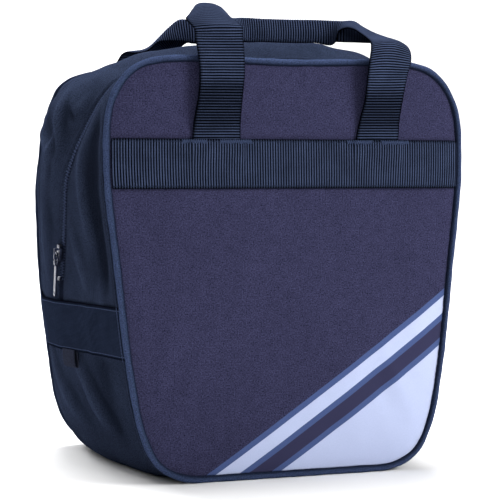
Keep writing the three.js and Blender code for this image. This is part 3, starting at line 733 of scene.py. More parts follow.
def rear_face(X, Z):
    d = seam_d(X, Z, R_OUT)
    e = np.clip(d / 16, 0, 1)
    crown = 4.6 * (1 - np.exp(-d / 30)) + 0.9 * (1 - np.exp(-d / 5))
    crown += 2.0 * np.exp(-((X / 85) ** 2 + ((Z - 120) / 80) ** 2)) * np.clip(d / 40, 0, 1)
    below = BAND_TOP - WEB_W - Z
    fold = ramp(below, -2, 10) * np.exp(-np.clip(below - 6, 0, None) / 30)
    crown += fold * e * (0.7 * np.sin(X / 9.1 - 0.6) + 0.4 * np.sin(X / 5.6 + 1.0))
    for cx, cz, ang, ln, wd, amp in ((90, 70, 112, 46, 8, 1.0), (-86, 60, 60, 44, 7, 0.9), (20, 120, 84, 60, 12, 0.6), (-60, 150, 100, 48, 9, 0.7)):
        ca, sa = math.cos(math.radians(ang)), math.sin(math.radians(ang))
        a = (X - cx) * ca + (Z - cz) * sa
        b = -(X - cx) * sa + (Z - cz) * ca
        crown += e * amp * np.exp(-(a / ln) ** 2) * (np.exp(-(b / wd) ** 2) - 0.55 * np.exp(-((b - 1.7 * wd) / (1.2 * wd)) ** 2))
    P = np.stack([X, Z, np.zeros_like(X) + 50], -1)
    crown += e * (0.6 * nz(P, 44, 8) + 0.16 * nz(P, 12, 9, 1))
    crown -= 0.8 * ramp(Z, BAND_TOP - WEB_W - 5, BAND_TOP - WEB_W + 3) * (1 - ramp(Z, BAND_TOP - 3, BAND_TOP + 5)) * e
    return (REAR_Y + 0.2) * (1 - LEAN * Z) + crown


def panel(name, outline, face, sgn, mats):
    X, Z = panel_grid(outline, 150, 160)
    Y = face(X, Z)
    outer = np.stack([X, Y, Z + FLOOR], -1)
    N = normals_of(outer)
    if (N[75, 80, 1] > 0) != (sgn > 0):
        N = -N
    t = SHELL * (0.35 + 0.65 * np.clip(seam_d(X, Z, outline) / 8, 0, 1))
    inner = outer.copy()
    inner[..., 1] -= sgn * t
    return shell(name, outer, inner, np.stack([X, Z], -1), mats)


# direction of the line where the soft front bends when the mouth opens, climbing from the front seam to the zip;
# nothing in this script reads it
_bd = np.array([-0.5, 1.0]); _bd /= np.linalg.norm(_bd)


def flap(ob, slot, *nodes):
    if nodes:
        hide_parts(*nodes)
    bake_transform(ob)
    return ob


def on(ob, body, slot, *nodes):
    if nodes:
        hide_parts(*nodes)
    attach(ob, body)
    return ob


front_panel = panel("front_panel", F_OUT, front_face, -1, [MAT_PANEL, MAT_LINING])
flap(front_panel, "panel_fabric", "front_panel_upper", "front_panel_lower")
rear_panel = panel("rear_panel_fabric", R_OUT, rear_face, 1, [MAT_BODY, MAT_LINING])
on(rear_panel, "root", "body_fabric", "rear_panel")


# ------------------------------------------------------------------ piping
def piping(name, y, offs):
    s = np.arange(900) / 900 * LOOP
    o = loop_at(offs, s) if offs is not None else np.zeros(900)
    c = put(s, y + (-0.2 if y < 0 else 0.2), o - 0.1)
    c[:, 2] = np.maximum(c[:, 2], FLOOR)
    rad = 2.75 + 0.12 * np.sin(s / 7.3) + 0.1 * np.sin(s / 3.1 + 1)
    nn = loop_at(NOR, s)
    # direction of the piping's painted highlight: outward from the seam and toward the panel's side of the bag
    cr = np.stack([nn[:, 0], np.full(900, -1.0 if y < 0 else 1.0), nn[:, 1]], -1) / math.sqrt(2)
    ob = tube(name, c, rad, 24, [MAT_PIPE], True, painted_light_dir=cr, squeeze=lambda V: np.concatenate([V[..., :2], np.maximum(V[..., 2:], 0.0)], -1))
    return ob


fp = piping("front_piping", FRONT_Y, None)
flap(fp, "piping", "front_piping_upper", "front_piping_lower")
rp = piping("rear_piping_cord", REAR_Y, R_OFF)
on(rp, "root", "piping", "rear_piping")


# ------------------------------------------------------------------ gusset
S_R, S_L = s_at_z(FOLD_Z, 1), s_at_z(FOLD_Z, -1)


def gusset_detail(s, y, fulness=True):
    """Seam ridges, soft wrinkles and dimples on the gusset, mm outward."""
    ef = y - FRONT_Y
    er = REAR_Y - y
    near = np.clip(np.minimum(ef, er) / 14, 0, 1)
    zy = zip_y(s)
    awayzip = 1 - np.exp(-((y - zy) / 13) ** 2)
    p = loop_at(OUT, s)
    x, z = p[..., 0], p[..., 1]
    sidew = ramp(z, 20, 50) * (1 - ramp(z, 285, 312))
    above = ramp(z, 132, 142)
    k = np.where(z < 130, 1.0, awayzip)
    o = 2.0 * np.exp(-((ef - 7.0) / 1.9) ** 2) - 1.0 * np.exp(-((ef - 3.6) / 1.2) ** 2) - 1.3 * np.exp(-((ef - 11.4) / 2.2) ** 2)
    o += 1.0 * np.exp(-((er - 6.6) / 1.9) ** 2) - 0.9 * np.exp(-((er - 3.2) / 1.4) ** 2)
    W = 0.0
    left = x < 0
    # folds given as level, depth, angle (0 along the depth, 90 along the height), length, width, height
    folds = [(60, -20, 55, 42, 6, 1.5), (48, 30, 40, 46, 7, 1.2), (72, 62, 65, 40, 7, 1.1), (30, -50, 50, 34, 6, 1.1),
             (150, 60, 80, 46, 8, 1.2), (190, 40, 95, 50, 9, 1.3), (232, 70, 70, 44, 8, 1.4), (262, 42, 30, 36, 6, 1.3),
             (276, 12, 60, 22, 4.5, 1.9), (250, 20, 100, 24, 5, 1.1), (215, -52, 78, 44, 7, 1.3), (176, -68, 84, 44, 6, 1.0),
             (168, -30, 60, 30, 6, 0.9), (285, 70, 120, 38, 7, 1.3), (120, 85, 90, 50, 7, 1.0)]
    for lz, ly, ang, ln, wd, amp in folds:
        for sg in (1, -1):
            m = left if sg < 0 else ~left
            ca, sa = math.cos(math.radians(ang)), math.sin(math.radians(ang))
            jy = ly if sg < 0 else ly * 0.8 + 9
            jz = lz if sg < 0 else lz + 8 * math.sin(ly)
            calm = 1.0 if ly < 50 else 0.45
            a = (y - jy) * ca + (z - jz) * sa
            b = -(y - jy) * sa + (z - jz) * ca
            f = 2.3 * calm * amp * np.exp(-(a / ln) ** 2) * (np.exp(-(b / wd) ** 2) - 0.6 * np.exp(-((b - 1.8 * wd) / (1.2 * wd)) ** 2))
            W = W + np.where(m, f, 0) * sidew
    topw = ramp(z, 296, 314)
    for lx, ly, ang, ln, wd, amp in ((-70, 40, 20, 40, 8, 1.0), (-30, 60, -30, 44, 9, 1.1), (20, 20, 10, 60, 10, 0.8),
                                     (60, 62, 35, 46, 8, 1.2), (85, 25, 70, 34, 7, 1.1), (-85, 80, 60, 36, 7, 1.0),
                                     (0, -78, 4, 70, 6, 0.8), (50, -72, -6, 50, 7, 0.6)):
        ca, sa = math.cos(math.radians(ang)), math.sin(math.radians(ang))
        a = (x - lx) * ca + (y - ly) * sa
        b = -(x - lx) * sa + (y - ly) * ca
        W = W + topw * amp * np.exp(-(a / ln) ** 2) * (np.exp(-(b / wd) ** 2) - 0.5 * np.exp(-((b - 1.8 * wd) / (1.3 * wd)) ** 2))
    # a long hollow between the zip and the front seam, and one low on each side
    W = W - 4.6 * np.exp(-((ef - 40) / 15) ** 2) * ramp(z, 134, 170) * (1 - ramp(z, 262, 292))
    W = W - 2.2 * np.exp(-((ef - 58) / 20) ** 2) * ramp(z, 14, 40) * (1 - ramp(z, 84, 96))
    dl = np.where(left, 1.0, 0.0)
    W = W - dl * 2.6 * np.exp(-(((y + 4) * 0.8 + (z - 281) * 0.6) / 8) ** 2 - ((-(y + 4) * 0.6 + (z - 281) * 0.8) / 3.0) ** 2)
    W = W - dl * 2.2 * np.exp(-((y + 24) / 4.0) ** 2 - ((z - 277) / 14) ** 2) + dl * 1.6 * np.exp(-((y + 12) / 6) ** 2 - ((z - 289) / 8) ** 2)
    P = np.stack([x, y, z], -1)
    W = W + 0.9 * nz(P, 46, 11) + 0.22 * nz(P, 13, 12, 1)
    base = ramp(z, 2, 14)
    low = np.exp(-((np.hypot(np.abs(x) - 101, z - 8)) / 22) ** 2) * ramp(ef, 4, 50) * ramp(er, 3, 24) * 4.5
    # with fulness off this gives the map for painted shade and painted highlight: light on the seam ridges, dark lines
    # beside them, dark in the wrinkles' hollows and the long hollow, light on the wrinkles' crests
    if not fulness:
        line = 2.2 * np.exp(-((ef - 8.2) / 2.0) ** 2) - 4.2 * np.exp(-((ef - 4.4) / 1.5) ** 2) - 2.2 * np.exp(-((ef - 12.4) / 2.2) ** 2)
        line += 1.6 * np.exp(-((er - 7.6) / 2.0) ** 2) - 3.4 * np.exp(-((er - 4.0) / 1.5) ** 2)
        return line * base + W * near * k * base
    return o * base + W * near * k * base + low


def gusset(name, s, y0, y1, ny, mats, fold_in=0.0):
    """Padded strip between depths y0(s) and y1(s); fold_in rolls its zip edge under."""
    t = np.linspace(0, 1, ny)
    t = 0.5 - 0.5 * np.cos(np.pi * t)
    Y = y0[:, None] + (y1 - y0)[:, None] * t[None]
    Sg = np.repeat(s[:, None], ny, 1)
    O = off(Sg, Y) + gusset_detail(Sg, Y)
    if fold_in:
        dz = np.abs(Y - zip_y(Sg))
        O = O + 0.55 * np.exp(-((dz - 8.2) / 1.8) ** 2) - 0.9 * np.exp(-((dz - 5.2) / 1.1) ** 2)
    outer = put(Sg, Y, O)
    th = SHELL * (0.45 + 0.55 * np.clip(np.minimum(np.abs(Y - y0[:, None]), np.abs(Y - y1[:, None])) / 7, 0, 1))
    inner = put(Sg, Y, O - th)
    # keep a real thickness on the floor
    low = inner[..., 2] < outer[..., 2] + 0.9
    flatb = (outer[..., 2] < 0.4) & low
    inner[..., 2] = np.where(flatb, outer[..., 2] + 1.2, inner[..., 2])
    # the per-point shading attribute paints shade into the gusset's hollows and a highlight onto its ridges
    return shell(name, outer, inner, np.stack([Sg, Y], -1), mats, attrs={"painted_shading": gusset_detail(Sg, Y, False)})


LAP = 4.0
s_up = np.linspace(s_at_z(FOLD_Z - LAP, 1), s_at_z(FOLD_Z - LAP, -1), 520)
s_dn = np.linspace(s_at_z(FOLD_Z - LAP - 0.6, -1), LOOP + s_at_z(FOLD_Z - LAP - 0.6, 1), 380)
EDGE = 1.6
fg = gusset("front_gusset_fabric", s_up, np.full(520, FRONT_Y + EDGE), zip_y(s_up) - 5.4, 60, [MAT_BODY, MAT_LINING], 1)
flap(fg, "body_fabric", "front_gusset", "gusset_fold_left", "gusset_fold_right")
rg = gusset("rear_gusset_fabric", s_up, zip_y(s_up) + 5.4, np.full(520, REAR_Y - EDGE), 80, [MAT_BODY, MAT_LINING], 1)
on(rg, "root", "body_fabric", "rear_gusset")
bg = gusset("base_gusset_fabric", s_dn, np.full(380, FRONT_Y + EDGE), np.full(380, REAR_Y - EDGE), 120, [MAT_BODY, MAT_LINING])
on(bg, "root", "body_fabric", "base_gusset")


# ------------------------------------------------------------------ zip
def surf(s, y, lift):
    dz = np.abs(y - zip_y(s))
    return put(s, y, off(s, y) + lift)


def tape(name, side):
    n = 620
    s = np.linspace(s_up[0], s_up[-1], n)
    zy = zip_y(s)
    a, b = (-6.4, -0.6) if side < 0 else (0.6, 6.4)
    t = np.linspace(0, 1, 10)
    Y = zy[:, None] + a + (b - a) * t[None]
    Sg = np.repeat(s[:, None], 10, 1)
    lift = -1.35 + 0.12 * np.sin(Sg / 0.9 * 2)
    outer = surf(Sg, Y, lift)
    inner = surf(Sg, Y, -2.3)
    return shell(name, outer, inner, np.stack([Sg, Y], -1), [MAT_TAPE])


flap(tape("front_zip_tape_cloth", -1), "zip_tape", "front_zip_tape")
on(tape("rear_zip_tape_cloth", 1), "root", "zip_tape", "rear_zip_tape")


def coil(name, side):
    pitch = 2.3
    s = np.arange(s_at_z(150, 1) + (0 if side < 0 else pitch / 2), s_at_z(150, -1), pitch)
    zy = zip_y(s)
    y = zy + side * 1.55
    P = surf(s, y, -0.6)
    Q = surf(s, y + 0.5, -0.6)
    A = Q - P
    up = surf(s, y, 0.9) - P
    ahead = surf(s + 1.0, zip_y(s + 1.0) + side * 1.55, -0.6) - P
    A = A / np.linalg.norm(A, axis=1)[:, None] + 0.18 * side * ahead / np.linalg.norm(ahead, axis=1)[:, None]
    return beads(name, P, A, 3.9, 0.82, [MAT_COIL], B=up, flat=1.1, sides=8)


flap(coil("front_zip_coil", -1), "zip_tape")
on(coil("rear_zip_coil", 1), "root", "zip_tape")


def bevelled(name, node, mat, width=0.3, seg=3, body=None, slot_name="zip_metal"):
    src = frame["nodes"][node]
    me = src.data.copy()
    ob = bpy.data.objects.new(name, me)
    bpy.context.scene.collection.objects.link(ob)
    me.materials.clear(); me.materials.append(mat)
    import bmesh
    bm = bmesh.new(); bm.from_mesh(me)
    bmesh.ops.remove_doubles(bm, verts=bm.verts, dist=1e-6)
    bmesh.ops.dissolve_limit(bm, angle_limit=math.radians(2), verts=bm.verts, edges=bm.edges)
    bm.to_mesh(me); bm.free()
    b = ob.modifiers.new("round", "BEVEL")
    b.width = width * MM; b.segments = seg; b.limit_method = "ANGLE"; b.angle_limit = math.radians(25)
    dg = bpy.context.evaluated_depsgraph_get()
    new = bpy.data.meshes.new_from_object(ob.evaluated_get(dg))
    ob.modifiers.clear(); ob.data = new
    for p in new.polygons:
        p.use_smooth = True
    on(ob, body or src["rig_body"], slot_name, node)
    return ob


bevelled("zip_slider_body", "zip_slider", MAT_METAL, 0.35)
bevelled("slider_ring_link", "slider_ring", MAT_METAL, 0.28)
bevelled("zip_pull_bar", "zip_pull", MAT_METAL, 0.3)
bevelled("zip_stop_left_clip", "zip_stop_left", MAT_METAL, 0.25)
bevelled("zip_stop_right_clip", "zip_stop_right", MAT_METAL, 0.25)


# ------------------------------------------------------------------ webbing
def webbing(name, P, mats, thick=1.5, ribs=True, rib_h=0.46, cols=None, spacing=0.36, plain_at=(), painted_shade_at=()):
    """Ribbed webbing whose middle surface passes through stations P (k, m, 3); ribs run across."""
    P = np.asarray(P, float)
    k, m = P.shape[:2]
    cols = cols or 17
    vk = np.concatenate([[0], np.cumsum(np.linalg.norm(np.diff(P, axis=1), axis=-1).mean(0))])
    Pc = np.stack([hermite_np(vk, P[i], np.linspace(0, vk[-1], cols)) for i in range(k)])
    lk = np.concatenate([[0], np.cumsum(np.linalg.norm(np.diff(Pc, axis=0), axis=-1).mean(1))])
    dense = hermite_np(lk, Pc, np.linspace(0, lk[-1], 1500))
    mid = dense[:, cols // 2]
    l = np.concatenate([[0], np.cumsum(np.linalg.norm(np.diff(mid, axis=0), axis=-1))])
    n = int(l[-1] / spacing)
    want = np.linspace(0, l[-1], n)
    G = np.stack([np.stack([np.interp(want, l, dense[:, c, q]) for q in range(3)], -1) for c in range(cols)], 1)
    N = normals_of(G)
    v = np.linspace(-1, 1, cols)
    edge = 1 - np.clip((np.abs(v) - 0.86) / 0.14, 0, 1) ** 2
    ph = (0.5 - 0.5 * np.cos(2 * np.pi * want / RIB)) ** 0.85
    quiet = np.zeros(n)
    for a, b in plain_at:
        la, lb = np.interp([a, b], np.arange(len(lk)), lk)
        quiet = np.maximum(quiet, ramp(want, la - 1.5, la + 1.5) * (1 - ramp(want, lb - 3, lb + 3)))
    ph = ph * (1 - 0.72 * quiet) + 0.6 * 0.72 * quiet
    rib = (ph[:, None] * (0.35 + 0.65 * edge)[None]) if ribs else np.zeros((n, cols)) + 0.5
    h = thick / 2 * (0.55 + 0.45 * edge)[None] + (rib_h * (rib - 0.4) if ribs else 0)
    outer = G + N * h[..., None]
    inner = G - N * h[..., None]
    width = vk[-1]
    UV = np.stack(np.broadcast_arrays(want[:, None], (v * width / 2)[None]), -1)
    # painted shade: darkens the rib colour by up to 42% over the given station spans
    painted_shade_w = np.zeros(n)
    for a, b in painted_shade_at:
        la, lb = np.interp([a, b], np.arange(len(lk)), lk)
        painted_shade_w = np.maximum(painted_shade_w, ramp(want, la - 8, la + 8) * (1 - ramp(want, lb - 8, lb + 8)))
    ob = shell(name, outer, inner, UV, mats, attrs={"rib": rib * (1 - 0.42 * painted_shade_w)[:, None]})
    return ob, G, N, want


def panel_row(z, xs, face, lift, sgn):
    Z = np.full_like(xs, z)
    y = face(xs, Z, False) if face is front_face else face(xs, Z)
    return np.stack([xs, y + sgn * lift, Z + FLOOR], -1)


def over_legs(x, legs):
    """Extra lift where a band passes over the handle's legs."""
    o = 0 * x
    for a, b in legs:
        o = np.maximum(o, ramp(x, a - 5, a + 0.5) * (1 - ramp(x, b - 0.5, b + 5)))
    return 1.75 * o


def band(name, outline, face, sgn, body, node, legs):
    us = np.linspace(-1, 1, 121)
    zs = np.linspace(BAND_TOP, BAND_TOP - WEB_W, 5)
    h = half_width(outline, zs)
    pts = np.zeros((121, 5, 3))
    for j, z in enumerate(zs):
        xs = us * (h[j] - 0.8)
        deep = ramp(z, BAND_TOP - 24, BAND_TOP - 12)
        pts[:, j] = panel_row(z, xs, face, 1.15 + over_legs(xs, legs) * deep, sgn)
    ob, G, N, want = webbing(name, pts, [MAT_WEB])
    on(ob, body, "webbing", node)
    return G, N


FRONT_LEGS = ((-82.0, -43.6), (54.4, 91.6))
REAR_LEGS = ((-84.2, -45.8), (52.8, 91.2))
FB, FBN = band("front_band_webbing", F_OUT, front_face, -1, "front_flap", "front_band", FRONT_LEGS)
RB, RBN = band("rear_band_webbing", R_OUT, rear_face, 1, "root", "rear_band", REAR_LEGS)


def side_folds(s, y):
    """Shallow upright buckles the side band shares with the fabric under it."""
    return 0.8 * np.exp(-((y + 48) / 7) ** 2) - 0.7 * np.exp(-((y + 34) / 7) ** 2) + 0.7 * np.exp(-((y - 22) / 8) ** 2) - 0.6 * np.exp(-((y - 40) / 9) ** 2) + 0.5 * np.exp(-((y - 64) / 9) ** 2)


def side_band(name, side, node):
    a, b = s_at_z(SIDE_BAND[1], side), s_at_z(SIDE_BAND[0], side)
    ys = np.linspace(FRONT_Y + 2.4, REAR_Y - 2.4, 40)
    ss = np.linspace(a, b, 5)
    pts = np.zeros((40, 5, 3))
    for j, s in enumerate(ss):
        s_ = np.full(40, s)
        pts[:, j] = put(s_, ys, off(s_, ys) + 1.75 - 1.1 * np.exp(-((ys - FRONT_Y - 2) / 5) ** 2) - 1.1 * np.exp(-((REAR_Y - 2 - ys) / 5) ** 2) + side_folds(s_, ys))
    ob, G, N, want = webbing(name, pts, [MAT_WEB_SHADED], rib_h=0.3)
    on(ob, "root", "webbing", node)
    return G, N


SBL, SBLN = side_band("side_band_left_webbing", -1, "side_band_left")
SBR, SBRN = side_band("side_band_right_webbing", 1, "side_band_right")


def pull_tab(name, side, node):
    """Short folded loop of narrow webbing hanging under the side band."""
    rows_ = []
    prof = [(97, 0.9), (92, 1.0), (87, 1.1), (82.4, 1.3), (80.3, 2.2), (80.7, 3.4), (83.2, 4.0), (87.5, 3.9), (91.5, 3.4), (94.2, 3.0)]
    ys = np.linspace(-10, 15.4, 5)
    for z, o in prof:
        s = np.full(5, s_at_z(z, side))
        rows_.append(put(s, ys, off(s, ys) + o))
    ob, G, N, want = webbing(name, np.array(rows_), [MAT_BIND], thick=1.1, cols=17, rib_h=0.12)
    on(ob, "root", "webbing", node)
    return G


pull_tab("pull_tab_left_webbing", -1, "pull_tab_left")
pull_tab("pull_tab_right_webbing", 1, "pull_tab_right")


# handle stations: five points across the webbing, from its outer edge to its inner edge.
# Flat legs, a turn back over the top, and a middle folded in half for the hand.
H = [
    [(-82.4, -111.2, 244.3), (-72.7, -111.2, 244.3), (-62.9, -111.2, 244.4), (-53, -111.2, 244.4), (-43.1, -111.2, 244.4)],
    [(-82, -112.2, 261.7), (-72.3, -112.2, 261.8), (-62.5, -112.3, 261.9), (-52.7, -112.3, 262), (-42.9, -112.4, 262)],
    [(-81, -114.8, 276.1), (-71.6, -115, 276.2), (-62.2, -115.1, 276.3), (-52.7, -115.2, 276.4), (-43.2, -115.4, 276.5)],
    [(-79.1, -116, 291.2), (-70.1, -116.4, 291.3), (-61.1, -116.8, 291.4), (-52.1, -117.2, 291.5), (-43, -117.6, 291.6)],
    [(-77, -115, 312.4), (-68.2, -115.8, 312.5), (-59.3, -116.7, 312.7), (-50.4, -117.5, 312.8), (-41.5, -118.4, 312.9)],
    [(-78, -113.6, 327.5), (-69, -114.8, 327.7), (-60, -116.1, 327.8), (-50.9, -117.3, 328), (-41.8, -118.6, 328.1)],
    [(-79.4, -112.8, 337.4), (-70.2, -114.2, 337.5), (-61, -115.7, 337.7), (-51.7, -117.2, 337.8), (-42.4, -118.6, 338)],
    [(-79.7, -112, 343.5), (-71.2, -114.8, 344.3), (-62.3, -117, 344.7), (-52.6, -118.2, 344.8), (-42.5, -118.2, 344.8)],
    [(-82.6, -109.5, 347.8), (-73.7, -111.8, 348.5), (-64.2, -113.4, 348.9), (-53.6, -114.4, 348.9), (-43.4, -114.6, 347.7)],
    [(-84.3, -106, 351.3), (-75.6, -107, 353), (-66, -108.5, 354), (-55.9, -110, 353.1), (-45.5, -110.5, 350.8)],
    [(-79.3, -100, 355.6), (-72.5, -101, 358.1), (-64.7, -102, 359.4), (-56.5, -103.5, 358.2), (-47.4, -105, 353.9)],
    [(-74.2, -94, 360.2), (-69.5, -95, 362.5), (-62.9, -96, 363.4), (-56.5, -97.5, 362.3), (-48.8, -99, 358.1)],
    [(-69, -86.5, 363.6), (-65.6, -88, 364.9), (-60.4, -90.5, 364.9), (-55.8, -93.5, 363.7), (-51, -96, 361.1)],
    [(-63, -78.5, 364.7), (-60.3, -81.5, 365.2), (-56.7, -86, 364.2), (-53.6, -91, 361.9), (-50.2, -94, 358.3)],
    [(-54.6, -70.5, 361.9), (-53.1, -74.5, 363.7), (-51, -81, 362.3), (-48.7, -87, 358.1), (-45.8, -89, 353)],
    [(-45, -64, 354.5), (-44, -68, 359), (-42.5, -75, 359.3), (-41, -81, 353.8), (-38.9, -82, 347.1)],
    [(-33.3, -60, 345.3), (-32.8, -62, 352.3), (-31.8, -67, 356), (-31.2, -72, 349.3), (-29.1, -72, 341.9)],
    [(-21, -57.6, 339.4), (-21, -57, 348.2), (-20.6, -59.6, 357.2), (-20.2, -62.4, 348.2), (-19.6, -61.6, 339)],
    [(0, -54.4, 339.4), (0, -53.8, 348.2), (0, -56.4, 357.2), (0, -59.2, 348.2), (0, -58.4, 339.2)],
    [(22, -53.2, 339.4), (22, -52.6, 348.2), (22, -55.2, 357.3), (22, -58, 348.2), (22, -57.2, 339.2)],
    [(43, -54.4, 339.8), (43, -53.8, 348.6), (43, -56.4, 357.6), (43, -59.2, 348.6), (43, -58.4, 339.6)],
    [(62.6, -57.5, 340.9), (63.1, -57, 349), (61.7, -59.8, 357.2), (60.6, -62.8, 348.6), (60.7, -62, 340.4)],
    [(68.9, -58.8, 340.7), (69.3, -58.2, 348.7), (66.8, -62.2, 356.7), (63.1, -66.5, 352.9), (61, -67.4, 347.8)],
    [(77.5, -62.5, 340.5), (78.3, -61.5, 347.9), (74.4, -67, 356.4), (68, -73, 354.5), (63.6, -76, 350.6)],
    [(85.6, -69, 339.9), (86.3, -68.5, 345.8), (78.9, -75.5, 351.6), (71.1, -82.5, 351), (65.5, -86, 349.1)],
    [(94.7, -78, 339.2), (92.7, -79.5, 343.5), (83.2, -86, 346.6), (73.9, -92.5, 346.1), (67, -96, 345)],
    [(102.4, -88, 337.7), (97.1, -90.5, 340.9), (87.1, -96.5, 342.8), (76.4, -102, 342.2), (68, -105, 340.8)],
    [(106.7, -98.5, 335.5), (99.9, -101, 338.4), (89.7, -105.5, 339.7), (78.5, -109.5, 339.2), (67.9, -112, 337.5)],
    [(105.6, -107, 331.2), (97.8, -110, 333.6), (87.8, -112.8, 335.4), (77.2, -115, 335), (66.7, -116, 333.4)],
    [(103.5, -112, 324.2), (94.7, -114.4, 325.4), (84.4, -116.4, 326.3), (74, -117.6, 326), (64.4, -117.8, 324.5)],
    [(97.9, -115, 309.7), (88.9, -115.7, 309.4), (79.9, -116.4, 309.2), (71, -117.1, 309), (62.1, -117.8, 308.8)],
    [(93.2, -116.2, 290.6), (84.8, -116.4, 290.4), (76.5, -116.6, 290.3), (68.2, -116.8, 290.2), (59.9, -117, 290.1)],
    [(91.9, -114.8, 276.4), (83.1, -114.9, 276.3), (74.4, -115, 276.2), (65.7, -115.1, 276.1), (57.1, -115.2, 276)],
    [(91.7, -112.4, 262.2), (82.5, -112.4, 262.1), (73.3, -112.4, 262.1), (64.1, -112.4, 262), (55, -112.4, 261.9)],
    [(90, -111.2, 244.7), (80.7, -111.2, 244.7), (71.5, -111.2, 244.7), (62.3, -111.2, 244.7), (53.2, -111.2, 244.6)],
]
H = np.array(H, float)
RH_HALF = [
    [(-84.4, 116, 240), (-74.9, 116, 240), (-65.4, 116, 240), (-55.9, 116, 240), (-46.4, 116, 240)],
    [(-83.6, 117, 262), (-74.1, 117, 262), (-64.6, 117, 262), (-55.1, 117, 262), (-45.6, 117, 262)],
    [(-81.8, 118.5, 276), (-72.3, 118.5, 276), (-62.8, 118.5, 276), (-53.3, 118.5, 276), (-43.8, 118.5, 276)],
    [(-79.2, 119.2, 292), (-69.7, 119.2, 292), (-60.2, 119.2, 292), (-50.7, 119.2, 292), (-41.2, 119.2, 292)],
    [(-75.6, 119.6, 310), (-66.1, 119.6, 310), (-56.6, 119.6, 310), (-47.1, 119.6, 310), (-37.6, 119.6, 310)],
    [(-67.7, 112, 333.3), (-58.5, 115, 334.1), (-49, 117, 334.4), (-39.4, 118, 334.4), (-30.1, 118, 334)],
    [(-65.7, 111, 337), (-57.1, 113.5, 337.9), (-48.6, 115.5, 338.5), (-39.3, 117, 338.5), (-30.3, 117.5, 337.7)],
    [(-63.2, 107, 339.1), (-56.1, 109.5, 339.9), (-48.3, 111.5, 340.6), (-40, 113.5, 340.5), (-30.9, 114.5, 339.6)],
    [(-57.6, 99.5, 338.2), (-52.6, 102, 340.1), (-45.3, 106, 341.2), (-37.1, 110, 340.7), (-29.6, 111.5, 337)],
    [(-48.9, 91.5, 339.5), (-46.4, 93.5, 342.1), (-41.3, 99, 345), (-32.8, 105, 342.6), (-26.5, 107, 337.5)],
    [(-41, 82.5, 346.9), (-40, 85.5, 349.2), (-35.6, 92, 352), (-27, 99, 346.9), (-21.6, 101, 340.6)],
    [(-32.4, 77, 347.8), (-32.8, 79, 354.1), (-30.1, 85, 359.8), (-21.9, 92, 352.7), (-16.8, 94, 344)],
    [(-22.7, 73.5, 347.7), (-24.1, 74.2, 356.2), (-23.4, 78.5, 365.9), (-16.6, 84, 357.5), (-13.2, 86, 347.3)],
    [(-13.5, 69.6, 346.4), (-13.8, 69.2, 355.6), (-14, 72, 365.4), (-13.4, 75.2, 355.6), (-12.8, 74.6, 346)],
    [(3.5, 67.6, 346.6), (3.5, 67, 355.6), (3.5, 69.6, 365), (3.5, 72.6, 355.6), (3.5, 72, 346.2)],
]
RH_HALF = np.array(RH_HALF, float)
RH_MID = RH_HALF[-1].copy()
RH_MID[:, 0] = 3.5
RH_MID[:, 1] -= 2.0
other_half = RH_HALF[::-1].copy()
other_half[..., 0] = 7.0 - other_half[..., 0]
RH = np.concatenate([RH_HALF, RH_MID[None], other_half])


def against_panel(P, face, sgn):
    """Carries the legs' low rows to the panel, behind the stitched band."""
    P = P.copy()
    z = P[..., 2]
    f = face(P[..., 0], z, False) if face is front_face else face(P[..., 0], z)
    lie = f + sgn * (1.0 + 8.0 * ramp(z, 261, 303))
    w = 1 - ramp(z, 280, 312)
    flatw = np.where(z < 320, w, 0)
    P[..., 1] = P[..., 1] * (1 - flatw) + lie * flatw
    P[..., 1] += sgn * 1.6 * np.exp(-((z - 312) / 16) ** 2) * (z < 330)
    return P


def leaned(P):
    Q = P.copy()
    Q[..., 2] += FLOOR
    return Q


def handle_piece(name, P, node, sgn, plain_at):
    # painted shade on the colour of both legs' lower rows, just above the band
    ob, G, N, want = webbing(name, leaned(P), [MAT_WEB], thick=1.6, cols=29, plain_at=plain_at, painted_shade_at=((1.4, 3.6), (len(P) - 4.4, len(P) - 2.4)))
    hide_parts(node)
    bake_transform(ob)
    return G, N


HG, HN = handle_piece("front_handle_webbing", against_panel(H, front_face, -1), "front_handle", -1, ((7.6, 15.5), (21.8, 27.2)))
RG, RN = handle_piece("rear_handle_webbing", against_panel(RH, rear_face, 1), "rear_handle", 1, ((6.5, 9.5), (19.5, 22.5)))


# ------------------------------------------------------------------ inside
def binding(name, y, offs, sgn, closed_flap):
    n = 500
    s = np.arange(n) / n * LOOP
    o = loop_at(offs, s) if offs is not None else np.zeros(n)
    o = np.minimum(o, off(s, np.full(n, y - sgn * 7)))
    prof = [(1.6, -4.6), (1.6, -9.2), (2.4, -10), (3.6, -10.2), (4.4, -9.4), (4.6, -4.6)]
    ring = np.stack([put(s, y - sgn * a - sgn * 3.0, o + b) for a, b in prof], 1)
    m = len(prof)
    i = np.arange(n)[:, None]; j = np.arange(m)[None]
    F = np.stack([i * m + j, ((i + 1) % n) * m + j, ((i + 1) % n) * m + (j + 1) % m, i * m + (j + 1) % m], -1).reshape(-1, 4).tolist()
    UV = np.stack(np.broadcast_arrays(s[:, None], np.arange(m)[None] * 3.0), -1).reshape(-1, 2)
    ob = make(name, ring.reshape(-1, 3), F, [MAT_BIND], None, UV)
    fix_out(ob)
    return ob


flap(binding("front_seam_tape", FRONT_Y, None, -1, True), "seam_binding", "front_seam_binding_upper", "front_seam_binding_lower")
on(binding("rear_seam_tape", REAR_Y, R_OFF, 1, False), "root", "seam_binding", "rear_seam_binding")
bevelled("base_board_covered", "base_board", MAT_BOARD, 1.2, 4, slot_name="board")


